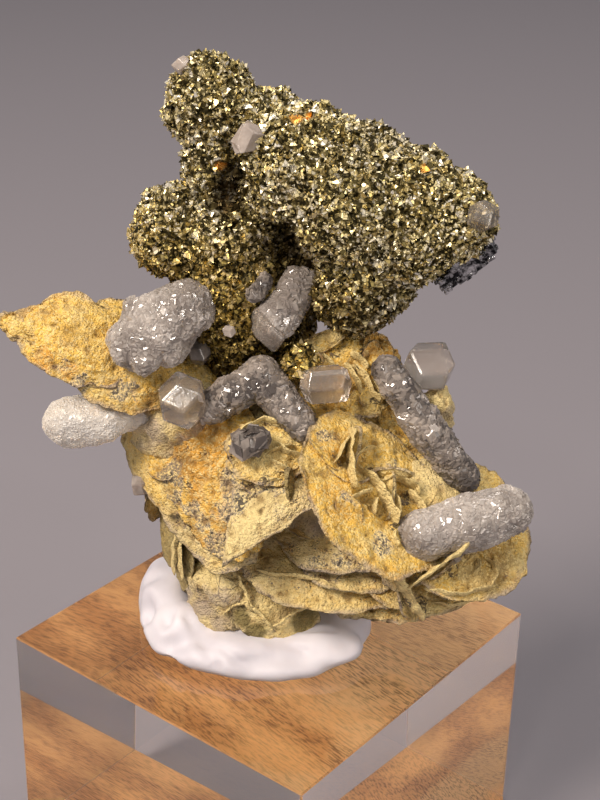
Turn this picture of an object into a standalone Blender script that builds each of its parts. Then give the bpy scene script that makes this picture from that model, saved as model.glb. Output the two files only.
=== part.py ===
# Calcite crystals on a rosette of siderite plates, crowned by a drusy chalcopyrite mass,
# held by white putty on a clear acrylic block that stands on a thin wood-grain sheet.
# Metres, +Z up. +X is the display's right and -Y its front.
# The origin is the middle of the sheet's flat underside, on which everything stands.

import math
import random
from collections import namedtuple

import bmesh
import bpy
from mathutils import Matrix, Vector, noise

# Every length below is in millimetres and is turned into metres when a mesh is made.
MM = 0.001

# Driving dimensions
BLOCK_SIDE = 38.1
BLOCK_HEIGHT = 25.4
BLOCK_BEVEL = 0.15
BLOCK_TURN = 52.0
SHEET_THICKNESS = 1.2
GAP = 0.3
BLOCK_TOP = SHEET_THICKNESS + GAP + BLOCK_HEIGHT

# A plate is a thin lens: its middle, the way its broad face looks, the way its long axis runs,
# its half length, half width and half thickness, and how far its rim bends back.
Plate = namedtuple("Plate", "middle faces along long short thick bend")
# A lump is a rounded mass given by its middle and its three half sizes.
Lump = namedtuple("Lump", "middle half")
# A finger is a run of intergrown crystals: the points along its middle and its half width at each.
Finger = namedtuple("Finger", "points reaches")
# A prism is a single six-sided crystal: its middle, its axis, its radius, its half length and how
# far it is turned about its axis.
Prism = namedtuple("Prism", "middle axis radius half_length turn")
# A group is what grew together as one calcite piece.
Group = namedtuple("Group", "name tint fingers prisms")

FRONT_PLATES = (
    Plate((-5.6, -4.0, 48.2), (-0.35, -0.80, 0.50), (0.5, -0.4, -0.8), 9.4, 6.0, 0.8, 0.5),
    Plate((-6.6, -3.0, 45.6), (-0.40, -0.78, 0.45), (0.5, -0.4, -0.8), 9.0, 5.9, 0.6, 0.3),
    Plate((-12.0, 0.8, 48.6), (-0.50, -0.66, 0.50), (0.62, -0.2, -0.75), 8.4, 4.4, 0.8, 0.5),
    Plate((-0.6, -8.4, 46.6), (-0.25, -0.60, 0.76), (0.81, 0.26, 0.53), 6.2, 4.4, 0.9, 0.2),
    Plate((9.3, -8.0, 47.5), (0.50, -0.45, 0.74), (0.65, -0.34, -0.68), 8.8, 7.9, 0.8, -0.6),
    Plate((-0.7, -6.0, 49.8), (0.10, -0.75, 0.65), (1.0, 0.0, 0.2), 3.8, 3.5, 0.7, 0.2),
    Plate((7.0, 0.6, 56.0), (0.05, -0.75, 0.66), (0.8, 0.3, 0.5), 5.6, 4.6, 0.8, 0.2),
    Plate((13.0, -0.8, 49.0), (0.30, -0.45, 0.84), (0.6, -0.3, -0.7), 7.2, 5.4, 0.7, 0.3),
    Plate((17.9, -5.8, 42.8), (0.30, -0.50, 0.80), (0.9, 0.3, -0.2), 8.1, 7.9, 0.8, -0.5),
    Plate((16.6, -5.2, 40.6), (0.25, -0.45, 0.85), (0.9, 0.3, -0.2), 7.4, 6.6, 0.6, 0.4),
    Plate((14.4, -5.2, 38.2), (0.20, -0.40, 0.90), (0.9, 0.3, -0.2), 6.8, 5.6, 0.5, 0.4),
    Plate((5.7, -5.0, 38.0), (0.05, -0.50, 0.86), (1.0, 0.0, -0.15), 9.6, 5.4, 0.7, 0.4),
    Plate((10.8, -4.8, 35.9), (0.10, -0.45, 0.88), (1.0, 0.0, -0.05), 7.6, 4.6, 0.6, 0.5),
    Plate((6.2, -5.0, 41.2), (-0.10, -0.40, 0.90), (1.0, -0.2, -0.3), 6.6, 4.6, 0.5, 0.0),
    Plate((7.6, -5.0, 39.4), (0.00, -0.45, 0.88), (1.0, -0.2, -0.3), 6.6, 4.6, 0.5, 0.0),
    Plate((0.6, -3.8, 32.5), (0.25, -0.85, 0.40), (1.0, 0.1, 0.2), 4.8, 3.9, 0.8, 0.3),
)

LEFT_BLADES = (
    Plate((-10.8, 0.2, 38.6), (-0.90, -0.35, 0.10), (0.15, 0.0, -1.0), 4.4, 3.8, 0.5, 0.2),
    Plate((-9.6, -0.6, 36.2), (-0.90, -0.35, 0.05), (0.25, 0.0, -1.0), 4.6, 3.8, 0.5, 0.2),
    Plate((-8.0, -1.4, 34.4), (-0.85, -0.45, 0.05), (0.25, 0.0, -1.0), 4.8, 3.6, 0.5, 0.2),
)

WING_PLATES = (
    Plate((-18.9, -0.4, 59.8), (0.30, -0.60, 0.74), (1.0, 0.1, -0.35), 6.0, 4.9, 1.3, 0.3),
    Plate((-14.4, 0.8, 57.7), (0.36, -0.62, 0.70), (1.0, 0.2, -0.40), 6.8, 5.9, 1.5, 0.3),
    Plate((-10.2, 1.6, 55.0), (0.30, -0.66, 0.68), (1.0, 0.2, -0.35), 6.2, 4.8, 1.7, 0.3),
    Plate((-24.0, -0.6, 61.0), (0.20, -0.60, 0.76), (1.0, 0.0, -0.45), 2.9, 1.1, 0.9, 0.0),
)

REAR_PLATES = (
    Plate((2.2, 4.0, 52.4), (0.00, -0.25, 0.97), (1.0, 0.0, 0.0), 9.0, 6.6, 1.1, 0.6),
    Plate((-6.0, 6.6, 46.6), (-0.45, 0.80, 0.30), (0.7, 0.4, 0.0), 8.0, 7.0, 0.8, 0.5),
    Plate((5.4, 7.2, 45.8), (0.20, 0.92, 0.25), (0.8, -0.1, 0.5), 8.6, 7.0, 0.8, 0.5),
    Plate((14.0, 3.8, 43.4), (0.65, 0.70, 0.25), (0.4, -0.5, 0.6), 7.0, 6.0, 0.8, 0.5),
    Plate((-0.6, 5.8, 38.6), (-0.10, 0.92, -0.30), (0.8, 0.2, 0.4), 6.6, 5.6, 0.8, 0.4),
    Plate((7.4, 5.0, 38.4), (0.40, 0.80, -0.45), (0.8, -0.2, 0.4), 6.6, 5.2, 0.8, 0.4),
    Plate((-11.4, 4.0, 43.2), (-0.90, 0.35, 0.20), (0.2, 0.2, -0.9), 6.2, 5.0, 0.7, 0.4),
)

# Thin crossing blades that stand on the rose plate, and two on the edge of the right lobe.
THIN_BLADES = (
    Plate((7.6, -5.6, 51.2), (0.90, 0.25, -0.35), (0.05, -0.45, -0.89), 2.4, 1.1, 0.3, 0.0),
    Plate((8.2, -7.2, 48.7), (-0.45, 0.25, 0.86), (0.85, 0.30, 0.43), 1.8, 0.9, 0.3, 0.0),
    Plate((10.9, -7.8, 47.9), (0.80, 0.30, -0.30), (0.45, -0.40, -0.80), 2.8, 1.2, 0.3, 0.0),
    Plate((11.4, -6.6, 49.3), (-0.05, -0.80, -0.55), (1.0, 0.05, 0.0), 2.0, 1.1, 0.3, 0.0),
    Plate((13.0, -10.0, 38.2), (0.90, -0.30, 0.25), (0.35, -0.10, -0.93), 3.1, 2.3, 0.35, 0.0),
    Plate((15.8, -10.6, 42.0), (0.55, 0.45, -0.70), (0.80, 0.15, 0.58), 3.5, 1.4, 0.35, 0.0),
)

SIDERITE_CORE = (
    Lump((-1.5, 1.6, 45.5), (9.0, 6.4, 8.2)),
    Lump((7.2, 0.4, 43.0), (9.0, 6.4, 7.4)),
    Lump((13.6, -2.0, 43.4), (6.0, 5.2, 5.2)),
    Lump((-2.6, 0.4, 36.6), (6.4, 5.0, 7.4)),
    Lump((-4.4, -2.6, 32.8), (4.3, 3.7, 4.6)),
    Lump((0.2, -3.4, 31.0), (4.4, 3.4, 2.7)),
    Lump((16.0, 1.2, 51.8), (1.6, 1.8, 3.2)),
    Lump((-8.8, 2.2, 50.4), (6.0, 4.4, 4.8)),
    Lump((-12.2, 4.4, 54.6), (5.6, 3.8, 4.4)),
)

CHALCOPYRITE_LUMPS = (
    Lump((-3.4, 5.8, 62.0), (7.2, 6.8, 8.6)),
    Lump((-3.0, 5.8, 55.4), (5.2, 4.8, 3.6)),
    Lump((-9.9, 5.2, 69.0), (4.3, 4.8, 4.7)),
    Lump((-5.0, 6.0, 68.6), (6.2, 6.2, 5.8)),
    Lump((-6.0, 5.6, 76.2), (3.3, 3.9, 5.4)),
    Lump((-6.6, 5.2, 82.1), (4.1, 4.4, 4.4)),
    Lump((-1.6, 5.0, 79.5), (3.8, 4.2, 3.7)),
    Lump((2.4, 2.4, 76.5), (6.3, 5.8, 6.0)),
    Lump((7.0, 1.2, 74.0), (6.8, 6.6, 6.9)),
    Lump((11.8, 0.8, 72.5), (6.1, 5.9, 6.4)),
    Lump((16.0, 0.2, 72.9), (4.0, 4.4, 4.1)),
    Lump((7.6, 2.2, 67.0), (5.6, 5.6, 5.8)),
    Lump((7.2, 3.8, 63.4), (4.4, 4.2, 3.6)),
    Lump((2.4, 7.4, 68.0), (6.0, 4.8, 8.4)),
)

PUTTY_LUMPS = (
    Lump((-2.1, -0.6, 28.0), (12.2, 9.8, 3.0)),
    Lump((-11.2, 1.6, 29.4), (3.2, 5.6, 3.2)),
    Lump((-9.2, -4.4, 29.0), (3.4, 3.2, 2.8)),
    Lump((-3.4, -7.4, 28.4), (5.4, 2.8, 2.1)),
    Lump((4.2, -5.6, 28.4), (5.0, 3.4, 2.1)),
    Lump((7.0, 0.4, 28.8), (3.6, 5.0, 2.8)),
    Lump((-4.0, 6.8, 29.4), (7.0, 3.0, 3.4)),
)

BLOB_LUMP = Lump((2.2, -1.2, 58.2), (1.6, 1.4, 1.7))

GALENA_SLABS = (
    ((15.9, 0.6, 66.7), (3.6, 4.4, 2.0)),
    ((17.5, 0.4, 68.2), (3.4, 4.0, 2.6)),
    ((18.6, 0.2, 69.7), (2.8, 3.4, 3.0)),
)
GALENA_SLOPE = 42.0

CALCITE_GROUPS = (
    Group(
        "calcite_wing_cluster", "pale",
        (
            Finger(((-13.6, -1.6, 60.2), (-11.2, -1.2, 61.8), (-8.8, -0.8, 63.4)), (2.9, 3.7, 3.1)),
            Finger(((-13.6, -0.4, 62.6), (-10.4, -1.6, 60.0)), (1.6, 2.2)),
        ),
        (),
    ),
    Group(
        "calcite_under_wing_finger", "white",
        (Finger(((-20.2, -1.5, 51.3), (-17.0, -1.4, 51.9), (-13.8, 0.2, 52.2)), (2.8, 2.6, 1.7)),),
        (),
    ),
    Group(
        "calcite_smoky_chain", "smoky",
        (Finger(((-6.4, -2.8, 53.8), (-1.6, -1.9, 57.0), (2.6, -4.2, 53.0)), (1.7, 2.1, 1.8)),),
        (Prism((-8.9, -3.5, 55.0), (-0.15, -0.35, 0.92), 2.5, 2.9, 12.0),),
    ),
    Group(
        "calcite_cavity_finger", "smoky",
        (Finger(((-0.4, -0.9, 62.4), (2.0, 1.8, 64.8)), (2.1, 2.1)),),
        (Prism((-1.0, -1.5, 61.8), (-0.75, -0.45, -0.48), 2.4, 1.8, 0.0),),
    ),
    Group(
        "calcite_striated_crystal", "smoky",
        (Finger(((-2.2, -0.9, 65.2), (-1.2, 0.4, 66.0)), (0.95, 0.85)),),
        (),
    ),
    Group(
        "calcite_pale_crystal", "pale",
        (Finger(((5.8, -2.8, 56.9), (6.9, -2.4, 57.0)), (1.4, 1.2)),),
        (Prism((4.9, -3.2, 56.9), (0.95, 0.1, 0.05), 1.8, 1.9, 20.0),),
    ),
    Group(
        "calcite_back_cube", "clear",
        (),
        (Prism((15.0, 1.6, 56.9), (0.25, -0.35, 0.90), 2.6, 2.7, 8.0),),
    ),
    Group(
        "calcite_long_finger", "smoky",
        (Finger(((10.8, -1.0, 57.4), (14.8, -3.2, 52.0), (18.5, -4.0, 47.5)), (1.7, 2.1, 1.7)),),
        (),
    ),
    Group(
        "calcite_lying_finger", "pale",
        (
            Finger(((14.2, -10.3, 44.7), (18.4, -9.4, 45.5), (22.4, -8.0, 46.2)), (2.7, 3.0, 2.8)),
            Finger(((17.2, -10.6, 42.9), (17.6, -9.8, 43.4)), (1.0, 1.0)),
        ),
        (),
    ),
    Group(
        "calcite_dark_crystal", "smoky",
        (Finger(((-2.5, -7.3, 52.4), (-1.0, -7.2, 53.0)), (1.5, 1.4)),),
        (),
    ),
    Group(
        "calcite_tip_crystal", "clear", (),
        (Prism((18.5, -3.6, 74.4), (0.5, -0.6, 0.6), 1.5, 1.6, 0.0),),
    ),
    Group(
        "calcite_flat_crystal", "white", (),
        (Prism((-3.0, -0.6, 80.2), (0.9, 0.3, 0.3), 1.1, 1.7, 15.0),),
    ),
    Group(
        "calcite_top_bead", "pale", (),
        (Prism((-9.8, 3.2, 85.6), (-0.4, -0.4, 0.8), 0.9, 1.0, 0.0),),
    ),
    Group(
        "calcite_column_bead", "pale", (),
        (Prism((-4.6, -1.4, 61.5), (0.1, -0.9, 0.4), 0.7, 0.9, 0.0),),
    ),
    Group(
        "calcite_edge_bead", "pale", (),
        (Prism((-13.4, 0.0, 43.8), (-0.8, -0.5, 0.1), 1.35, 1.4, 0.0),),
    ),
    Group(
        "calcite_shaded_crystal", "smoky", (),
        (Prism((-7.6, 0.2, 58.4), (0.1, -0.7, 0.6), 1.2, 1.5, 0.0),),
    ),
)

# How finely each shape is drawn
PLATE_SIDES = 11
PLATE_RINGS = 5
BLADE_SIDES = 8
BLADE_RINGS = 4
BLADE_LENGTH = 3.6
PLATE_WOBBLE = 0.10
PLATE_WAVE = 1.6
LUMP_WOBBLE = 0.12
LUMP_WAVE = 1.3
CHALCOPYRITE_VOXEL = 1.35
CHALCOPYRITE_FACES = 1700
CHALCOPYRITE_BUMP = 0.45
CHALCOPYRITE_GRAIN = 1.9
PUTTY_VOXEL = 1.1
PUTTY_FACES = 320
PUTTY_UNDERSIDE = BLOCK_TOP + GAP
CUTTER_SIDE = 60.0
FLAT_ANGLE = 5.0
CREASE_ANGLE = 38.0

# How a finger's crystals vary: the space between rings and the unevenness of a ring, as shares of
# its half width, and the smaller ring and the point that close each end.
FINGER_SIDES = 9
FINGER_STEP = 0.6
FINGER_JITTER = 0.24
FINGER_END = (0.5, 0.62)
FINGER_POINT = 0.35
FINGER_SEED = 11
GUIDE = (0.31, 0.17, 0.93)

# A prism's end faces lean away from its axis and take a share of the radius off its length.
PRISM_SIDES = 6
PRISM_SLANT = 32.0
PRISM_CUT = 0.12

# A socket is the hull of six-sided collars round what sits in it, moved out to leave the gap.
COLLAR_SIDES = 6
COLLAR_END = (0.85, 0.5)
SOCKET_FLAT = 8.0
SOCKET_ROOM = (1.25, 0.25)
# The putty keeps more room than that round the foot that is pressed into it.
PRINT_ROOM = 1.5 * GAP
# Heights between which the chalcopyrite's root is let into the siderite, slice by slice.
ROOT_SLICES = ((40.0, 57.5), (54.5, 62.0))


def make_material(name, colour, roughness, metallic=0.0, clear=0.0, ior=1.5):
    material = bpy.data.materials.new(name)
    material.use_nodes = True
    shader = material.node_tree.nodes["Principled BSDF"]
    shader.inputs["Base Color"].default_value = (*colour, 1.0)
    shader.inputs["Roughness"].default_value = roughness
    shader.inputs["Metallic"].default_value = metallic
    shader.inputs["Transmission Weight"].default_value = clear
    shader.inputs["IOR"].default_value = ior
    material.diffuse_color = (*colour, 1.0)
    return material


def make_object(name, bm):
    bmesh.ops.transform(bm, matrix=Matrix.Scale(MM, 4), verts=bm.verts)
    mesh = bpy.data.meshes.new(name)
    bm.to_mesh(mesh)
    bm.free()
    obj = bpy.data.objects.new(name, mesh)
    bpy.context.collection.objects.link(obj)
    return obj


def apply_modifiers(obj):
    graph = bpy.context.evaluated_depsgraph_get()
    mesh = bpy.data.meshes.new_from_object(obj.evaluated_get(graph))
    obj.modifiers.clear()
    old = obj.data
    obj.data = mesh
    bpy.data.meshes.remove(old)


def combine(target, tools, operation):
    # The tools are used up: their shapes are added to or taken from the target in one pass.
    if not tools:
        return
    group = bpy.data.collections.new("tools")
    bpy.context.scene.collection.children.link(group)
    for tool in tools:
        group.objects.link(tool)
    modifier = target.modifiers.new("Combine", "BOOLEAN")
    modifier.solver = "EXACT"
    modifier.operation = operation
    modifier.operand_type = "COLLECTION"
    modifier.collection = group
    apply_modifiers(target)
    for tool in tools:
        bpy.data.objects.remove(tool)
    bpy.data.collections.remove(group)


def boxes_meet(one, other):
    def limits(obj):
        corners = [v.co for v in obj.data.vertices]
        low = [min(c[i] for c in corners) for i in range(3)]
        high = [max(c[i] for c in corners) for i in range(3)]
        return low, high

    low_one, high_one = limits(one)
    low_other, high_other = limits(other)
    return all(low_one[i] < high_other[i] and low_other[i] < high_one[i] for i in range(3))


def cut_away(host, cutters):
    # Only the cutters whose box meets the host's are used.
    near = [cutter for cutter in cutters if boxes_meet(host, cutter)]
    for cutter in cutters:
        if cutter not in near:
            bpy.data.objects.remove(cutter)
    combine(host, near, "DIFFERENCE")


def copy_object(obj):
    copy = bpy.data.objects.new(obj.name, obj.data.copy())
    bpy.context.collection.objects.link(copy)
    return copy


def keep_largest_body(obj):
    # A union of many lumps can close off a hollow or shave off a crumb; only the body stays.
    bm = bmesh.new()
    bm.from_mesh(obj.data)
    unseen = set(bm.verts)
    bodies = []
    while unseen:
        queue = [unseen.pop()]
        body = set(queue)
        while queue:
            vert = queue.pop()
            for edge in vert.link_edges:
                other = edge.other_vert(vert)
                if other in unseen:
                    unseen.remove(other)
                    body.add(other)
                    queue.append(other)
        bodies.append(body)
    largest = max(bodies, key=len)
    spare = [v for v in bm.verts if v not in largest]
    bmesh.ops.delete(bm, geom=spare, context="VERTS")
    bm.to_mesh(obj.data)
    bm.free()


def merge_flat_faces(obj, degrees):
    # Faces that lie nearly in one plane become one, which takes out the slivers that cuts leave.
    bm = bmesh.new()
    bm.from_mesh(obj.data)
    bmesh.ops.dissolve_limit(bm, angle_limit=math.radians(degrees), verts=bm.verts, edges=bm.edges)
    bmesh.ops.triangulate(bm, faces=bm.faces)
    bm.to_mesh(obj.data)
    bm.free()


def facing_frame(middle, faces, along):
    up = Vector(faces).normalized()
    side = Vector(along)
    side = (side - up * side.dot(up)).normalized()
    across = up.cross(side)
    turn = Matrix((side, across, up)).transposed().to_4x4()
    return Matrix.Translation(Vector(middle)) @ turn


def plate_object(plate, grow=0.0):
    bm = bmesh.new()
    small = plate.long < BLADE_LENGTH
    sides = BLADE_SIDES if small else PLATE_SIDES
    rings = BLADE_RINGS if small else PLATE_RINGS
    bmesh.ops.create_uvsphere(bm, u_segments=sides, v_segments=rings, radius=1.0)
    place = Vector(plate.middle)
    for vert in bm.verts:
        way = Vector((vert.co.x, vert.co.y, 0.0))
        swell = 1.0 + PLATE_WOBBLE * noise.noise(way * PLATE_WAVE + place)
        back = plate.bend * (vert.co.x ** 2 + vert.co.y ** 2)
        vert.co.x *= plate.long * swell + grow
        vert.co.y *= plate.short * swell + grow
        vert.co.z = vert.co.z * (plate.thick + grow) - back
    frame = facing_frame(plate.middle, plate.faces, plate.along)
    bmesh.ops.transform(bm, matrix=frame, verts=bm.verts)
    return make_object("plate", bm)


def lump_object(lump, detail=2, grow=0.0):
    bm = bmesh.new()
    bmesh.ops.create_icosphere(bm, subdivisions=detail, radius=1.0)
    middle = Vector(lump.middle)
    for vert in bm.verts:
        swell = 1.0 + LUMP_WOBBLE * noise.noise(vert.co * LUMP_WAVE + middle)
        vert.co = Vector([vert.co[i] * (lump.half[i] * swell + grow) for i in range(3)]) + middle
    return make_object("lump", bm)


def finger_rings(finger):
    # Where each ring of crystals stands along the finger, and how wide it is.
    ends = [Vector(point) for point in finger.points]
    reaches = finger.reaches
    back, narrow = FINGER_END
    first_way = (ends[0] - ends[1]).normalized()
    last_way = (ends[-1] - ends[-2]).normalized()
    rings = [(ends[0] + first_way * reaches[0] * back, reaches[0] * narrow)]
    for index in range(len(ends) - 1):
        run = (ends[index + 1] - ends[index]).length
        mean_reach = (reaches[index] + reaches[index + 1]) / 2.0
        count = max(1, round(run / (FINGER_STEP * mean_reach)))
        for step in range(count):
            share = step / count
            reach = reaches[index] + (reaches[index + 1] - reaches[index]) * share
            rings.append((ends[index].lerp(ends[index + 1], share), reach))
    rings.append((ends[-1], reaches[-1]))
    rings.append((ends[-1] + last_way * reaches[-1] * back, reaches[-1] * narrow))
    return rings


def finger_object(finger, pick):
    # Rings of jittered points along a bent line, bridged into small flat faces, with blunt ends.
    bm = bmesh.new()
    rings = finger_rings(finger)
    loops = []
    for index, (spot, reach) in enumerate(rings):
        before = rings[max(0, index - 1)][0]
        after = rings[min(len(rings) - 1, index + 1)][0]
        spin = Matrix.Rotation(math.pi / FINGER_SIDES * (index % 2), 4, "Z")
        frame = facing_frame(spot, after - before, GUIDE) @ spin
        made = bmesh.ops.create_circle(bm, segments=FINGER_SIDES, radius=reach, matrix=frame)
        for vert in made["verts"]:
            vert.co = spot + (vert.co - spot) * (1.0 - pick.uniform(0.0, FINGER_JITTER))
        loops.append(list({edge for vert in made["verts"] for edge in vert.link_edges}))
    for one, other in zip(loops, loops[1:]):
        bmesh.ops.bridge_loops(bm, edges=one + other)
    for loop, ring in ((loops[0], rings[0]), (loops[-1], rings[-1])):
        cap = bmesh.ops.contextual_create(bm, geom=loop)["faces"]
        bmesh.ops.recalc_face_normals(bm, faces=bm.faces)
        bmesh.ops.poke(bm, faces=cap, offset=ring[1] * FINGER_POINT)
    bmesh.ops.triangulate(bm, faces=bm.faces)
    bmesh.ops.recalc_face_normals(bm, faces=bm.faces)
    return make_object("finger", bm)


def finger_collars(finger):
    # For each straight run of a finger, points whose hull holds all of its crystals.
    runs = []
    ends = [Vector(point) for point in finger.points]
    widen = 1.0 / math.cos(math.pi / COLLAR_SIDES)
    beyond, narrow = COLLAR_END
    for index in range(len(ends) - 1):
        start, end = ends[index], ends[index + 1]
        way = (end - start).normalized()
        reach_start, reach_end = finger.reaches[index:index + 2]
        collars = (
            (start - way * reach_start * beyond, reach_start * narrow),
            (start, reach_start),
            (end, reach_end),
            (end + way * reach_end * beyond, reach_end * narrow),
        )
        points = []
        for middle, reach in collars:
            frame = facing_frame(middle, way, GUIDE)
            for corner in range(COLLAR_SIDES):
                angle = 2.0 * math.pi * corner / COLLAR_SIDES
                spoke = Vector((math.cos(angle), math.sin(angle), 0.0)) * reach * widen
                points.append(frame @ spoke * MM)
        runs.append(points)
    return runs


def prism_object(prism):
    # A six-sided crystal whose two ends are each cut by three slanting faces.
    bm = bmesh.new()
    bmesh.ops.create_cone(bm, cap_ends=True, segments=PRISM_SIDES, radius1=prism.radius,
                          radius2=prism.radius, depth=2.0 * prism.half_length)
    lean = math.sin(math.radians(PRISM_SLANT))
    rise = math.cos(math.radians(PRISM_SLANT))
    for end, first in ((1.0, 30.0), (-1.0, 90.0)):
        for third in range(3):
            around = math.radians(first + 120.0 * third)
            outward = Vector((math.cos(around) * lean, math.sin(around) * lean, end * rise))
            point = Vector((0.0, 0.0, end * prism.half_length)) - outward * prism.radius * PRISM_CUT
            parts = bm.verts[:] + bm.edges[:] + bm.faces[:]
            cut = bmesh.ops.bisect_plane(bm, geom=parts, dist=0.0001, plane_co=point,
                                         plane_no=outward, clear_outer=True)
            rim = [part for part in cut["geom_cut"] if isinstance(part, bmesh.types.BMEdge)]
            if rim:
                bmesh.ops.contextual_create(bm, geom=rim)
    bmesh.ops.recalc_face_normals(bm, faces=bm.faces)
    spin = Matrix.Rotation(math.radians(prism.turn), 4, "Z")
    frame = facing_frame(prism.middle, prism.axis, (0.0, 1.0, 0.0)) @ spin
    bmesh.ops.transform(bm, matrix=frame, verts=bm.verts)
    return make_object("prism", bm)


def box_object(middle, size, turn):
    bm = bmesh.new()
    bmesh.ops.create_cube(bm, size=1.0)
    bmesh.ops.scale(bm, vec=Vector(size), verts=bm.verts)
    bmesh.ops.transform(bm, matrix=Matrix.Translation(Vector(middle)) @ turn, verts=bm.verts)
    return make_object("box", bm)


def join_solids(name, solids, material):
    body = solids[0]
    combine(body, solids[1:], "UNION")
    body.name = name
    body.data.name = name
    body.data.materials.clear()
    body.data.materials.append(material)
    keep_largest_body(body)
    return body


def points_of(obj):
    return [vert.co.copy() for vert in obj.data.vertices]


def socket_around(points):
    # The room that a crystal needs in what it grows from: its hull with a clear gap all round.
    bm = bmesh.new()
    for point in points:
        bm.verts.new(point / MM)
    hull = bmesh.ops.convex_hull(bm, input=bm.verts)
    loose = [v for v in bm.verts if not v.link_faces]
    bmesh.ops.delete(bm, geom=list(set(hull["geom_interior"]) | set(loose)), context="VERTS")
    bmesh.ops.dissolve_limit(bm, angle_limit=math.radians(SOCKET_FLAT), verts=bm.verts, edges=bm.edges)
    bmesh.ops.triangulate(bm, faces=bm.faces)
    bmesh.ops.recalc_face_normals(bm, faces=bm.faces)
    bm.normal_update()
    middle = sum((v.co for v in bm.verts), Vector()) / len(bm.verts)
    along_normal, along_spoke = SOCKET_ROOM
    moves = {}
    for vert in bm.verts:
        spoke = (vert.co - middle).normalized()
        moves[vert] = (vert.normal * along_normal + spoke * along_spoke) * GAP
    for vert, move in moves.items():
        vert.co += move
    return make_object("socket", bm)


def crystal_group(group, seed, material):
    # Fingers and prisms grown into one another; each straight run asks for a socket of its own.
    pick = random.Random(seed)
    solids = []
    sockets = []
    for finger in group.fingers:
        solids.append(finger_object(finger, pick))
        sockets += [socket_around(points) for points in finger_collars(finger)]
    for prism in group.prisms:
        solid = prism_object(prism)
        sockets.append(socket_around(points_of(solid)))
        solids.append(solid)
    join_solids(group.name, solids, material)
    return sockets


def make_sheet(material):
    turn = Matrix.Rotation(math.radians(BLOCK_TURN), 4, "Z")
    sheet = box_object((0.0, 0.0, SHEET_THICKNESS / 2), (BLOCK_SIDE, BLOCK_SIDE, SHEET_THICKNESS), turn)
    return join_solids("wood_grain_sheet", [sheet], material)


def make_block(material):
    turn = Matrix.Rotation(math.radians(BLOCK_TURN), 4, "Z")
    middle = (0.0, 0.0, SHEET_THICKNESS + GAP + BLOCK_HEIGHT / 2)
    block = box_object(middle, (BLOCK_SIDE, BLOCK_SIDE, BLOCK_HEIGHT), turn)
    bevel = block.modifiers.new("Polished edge", "BEVEL")
    bevel.width = BLOCK_BEVEL * MM
    bevel.segments = 1
    apply_modifiers(block)
    return join_solids("acrylic_block", [block], material)


def melt_lumps(name, lumps, voxel, faces, material):
    # Lumps grown together: one skin is drawn round them and thinned to a set number of faces.
    bodies = [lump_object(lump, detail=3) for lump in lumps]
    body = join_solids(name, bodies, material)
    remesh = body.modifiers.new("Skin", "REMESH")
    remesh.mode = "VOXEL"
    remesh.voxel_size = voxel * MM
    apply_modifiers(body)
    keep_largest_body(body)
    thin = body.modifiers.new("Thin", "DECIMATE")
    thin.use_collapse_triangulate = True
    thin.ratio = min(1.0, faces / (2.0 * len(body.data.polygons)))
    apply_modifiers(body)
    body.data.materials.clear()
    body.data.materials.append(material)
    return body


def roughen(obj, height, grain):
    bm = bmesh.new()
    bm.from_mesh(obj.data)
    bm.normal_update()
    moves = {v: v.normal * height * MM * noise.noise(v.co / (grain * MM)) for v in bm.verts}
    for vert, move in moves.items():
        vert.co += move
    bm.to_mesh(obj.data)
    bm.free()


def shade_round(obj):
    obj.data.shade_smooth()
    obj.data.set_sharp_from_angle(angle=math.radians(CREASE_ANGLE))


def make_siderite(material):
    plates = FRONT_PLATES + LEFT_BLADES + WING_PLATES + REAR_PLATES + THIN_BLADES
    solids = [lump_object(lump) for lump in SIDERITE_CORE]
    solids += [plate_object(plate) for plate in plates]
    return join_solids("siderite_rosette", solids, material)


def make_chalcopyrite(material):
    body = melt_lumps("chalcopyrite_mass", CHALCOPYRITE_LUMPS, CHALCOPYRITE_VOXEL,
                      CHALCOPYRITE_FACES, material)
    roughen(body, CHALCOPYRITE_BUMP, CHALCOPYRITE_GRAIN)
    return body


def make_bead(material):
    return join_solids("chalcopyrite_bead", [lump_object(BLOB_LUMP)], material)


def make_putty(material):
    # The putty keeps the print of the rosette's foot and lies flat on the block.
    putty = melt_lumps("mounting_putty", PUTTY_LUMPS, PUTTY_VOXEL, PUTTY_FACES, material)
    prints = [lump_object(lump, grow=PRINT_ROOM) for lump in SIDERITE_CORE]
    prints += [plate_object(plate, grow=PRINT_ROOM) for plate in FRONT_PLATES + LEFT_BLADES + REAR_PLATES]
    middle = (0.0, 0.0, PUTTY_UNDERSIDE - CUTTER_SIDE / 2)
    below = box_object(middle, (CUTTER_SIDE, CUTTER_SIDE, CUTTER_SIDE), Matrix())
    cut_away(putty, prints + [below])
    keep_largest_body(putty)
    merge_flat_faces(putty, FLAT_ANGLE)
    return putty


def make_galena(material):
    turn = Matrix.Rotation(math.radians(-GALENA_SLOPE), 4, "Y")
    slabs = [box_object(middle, size, turn) for middle, size in GALENA_SLABS]
    return join_solids("galena_crust", slabs, material)


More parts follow.
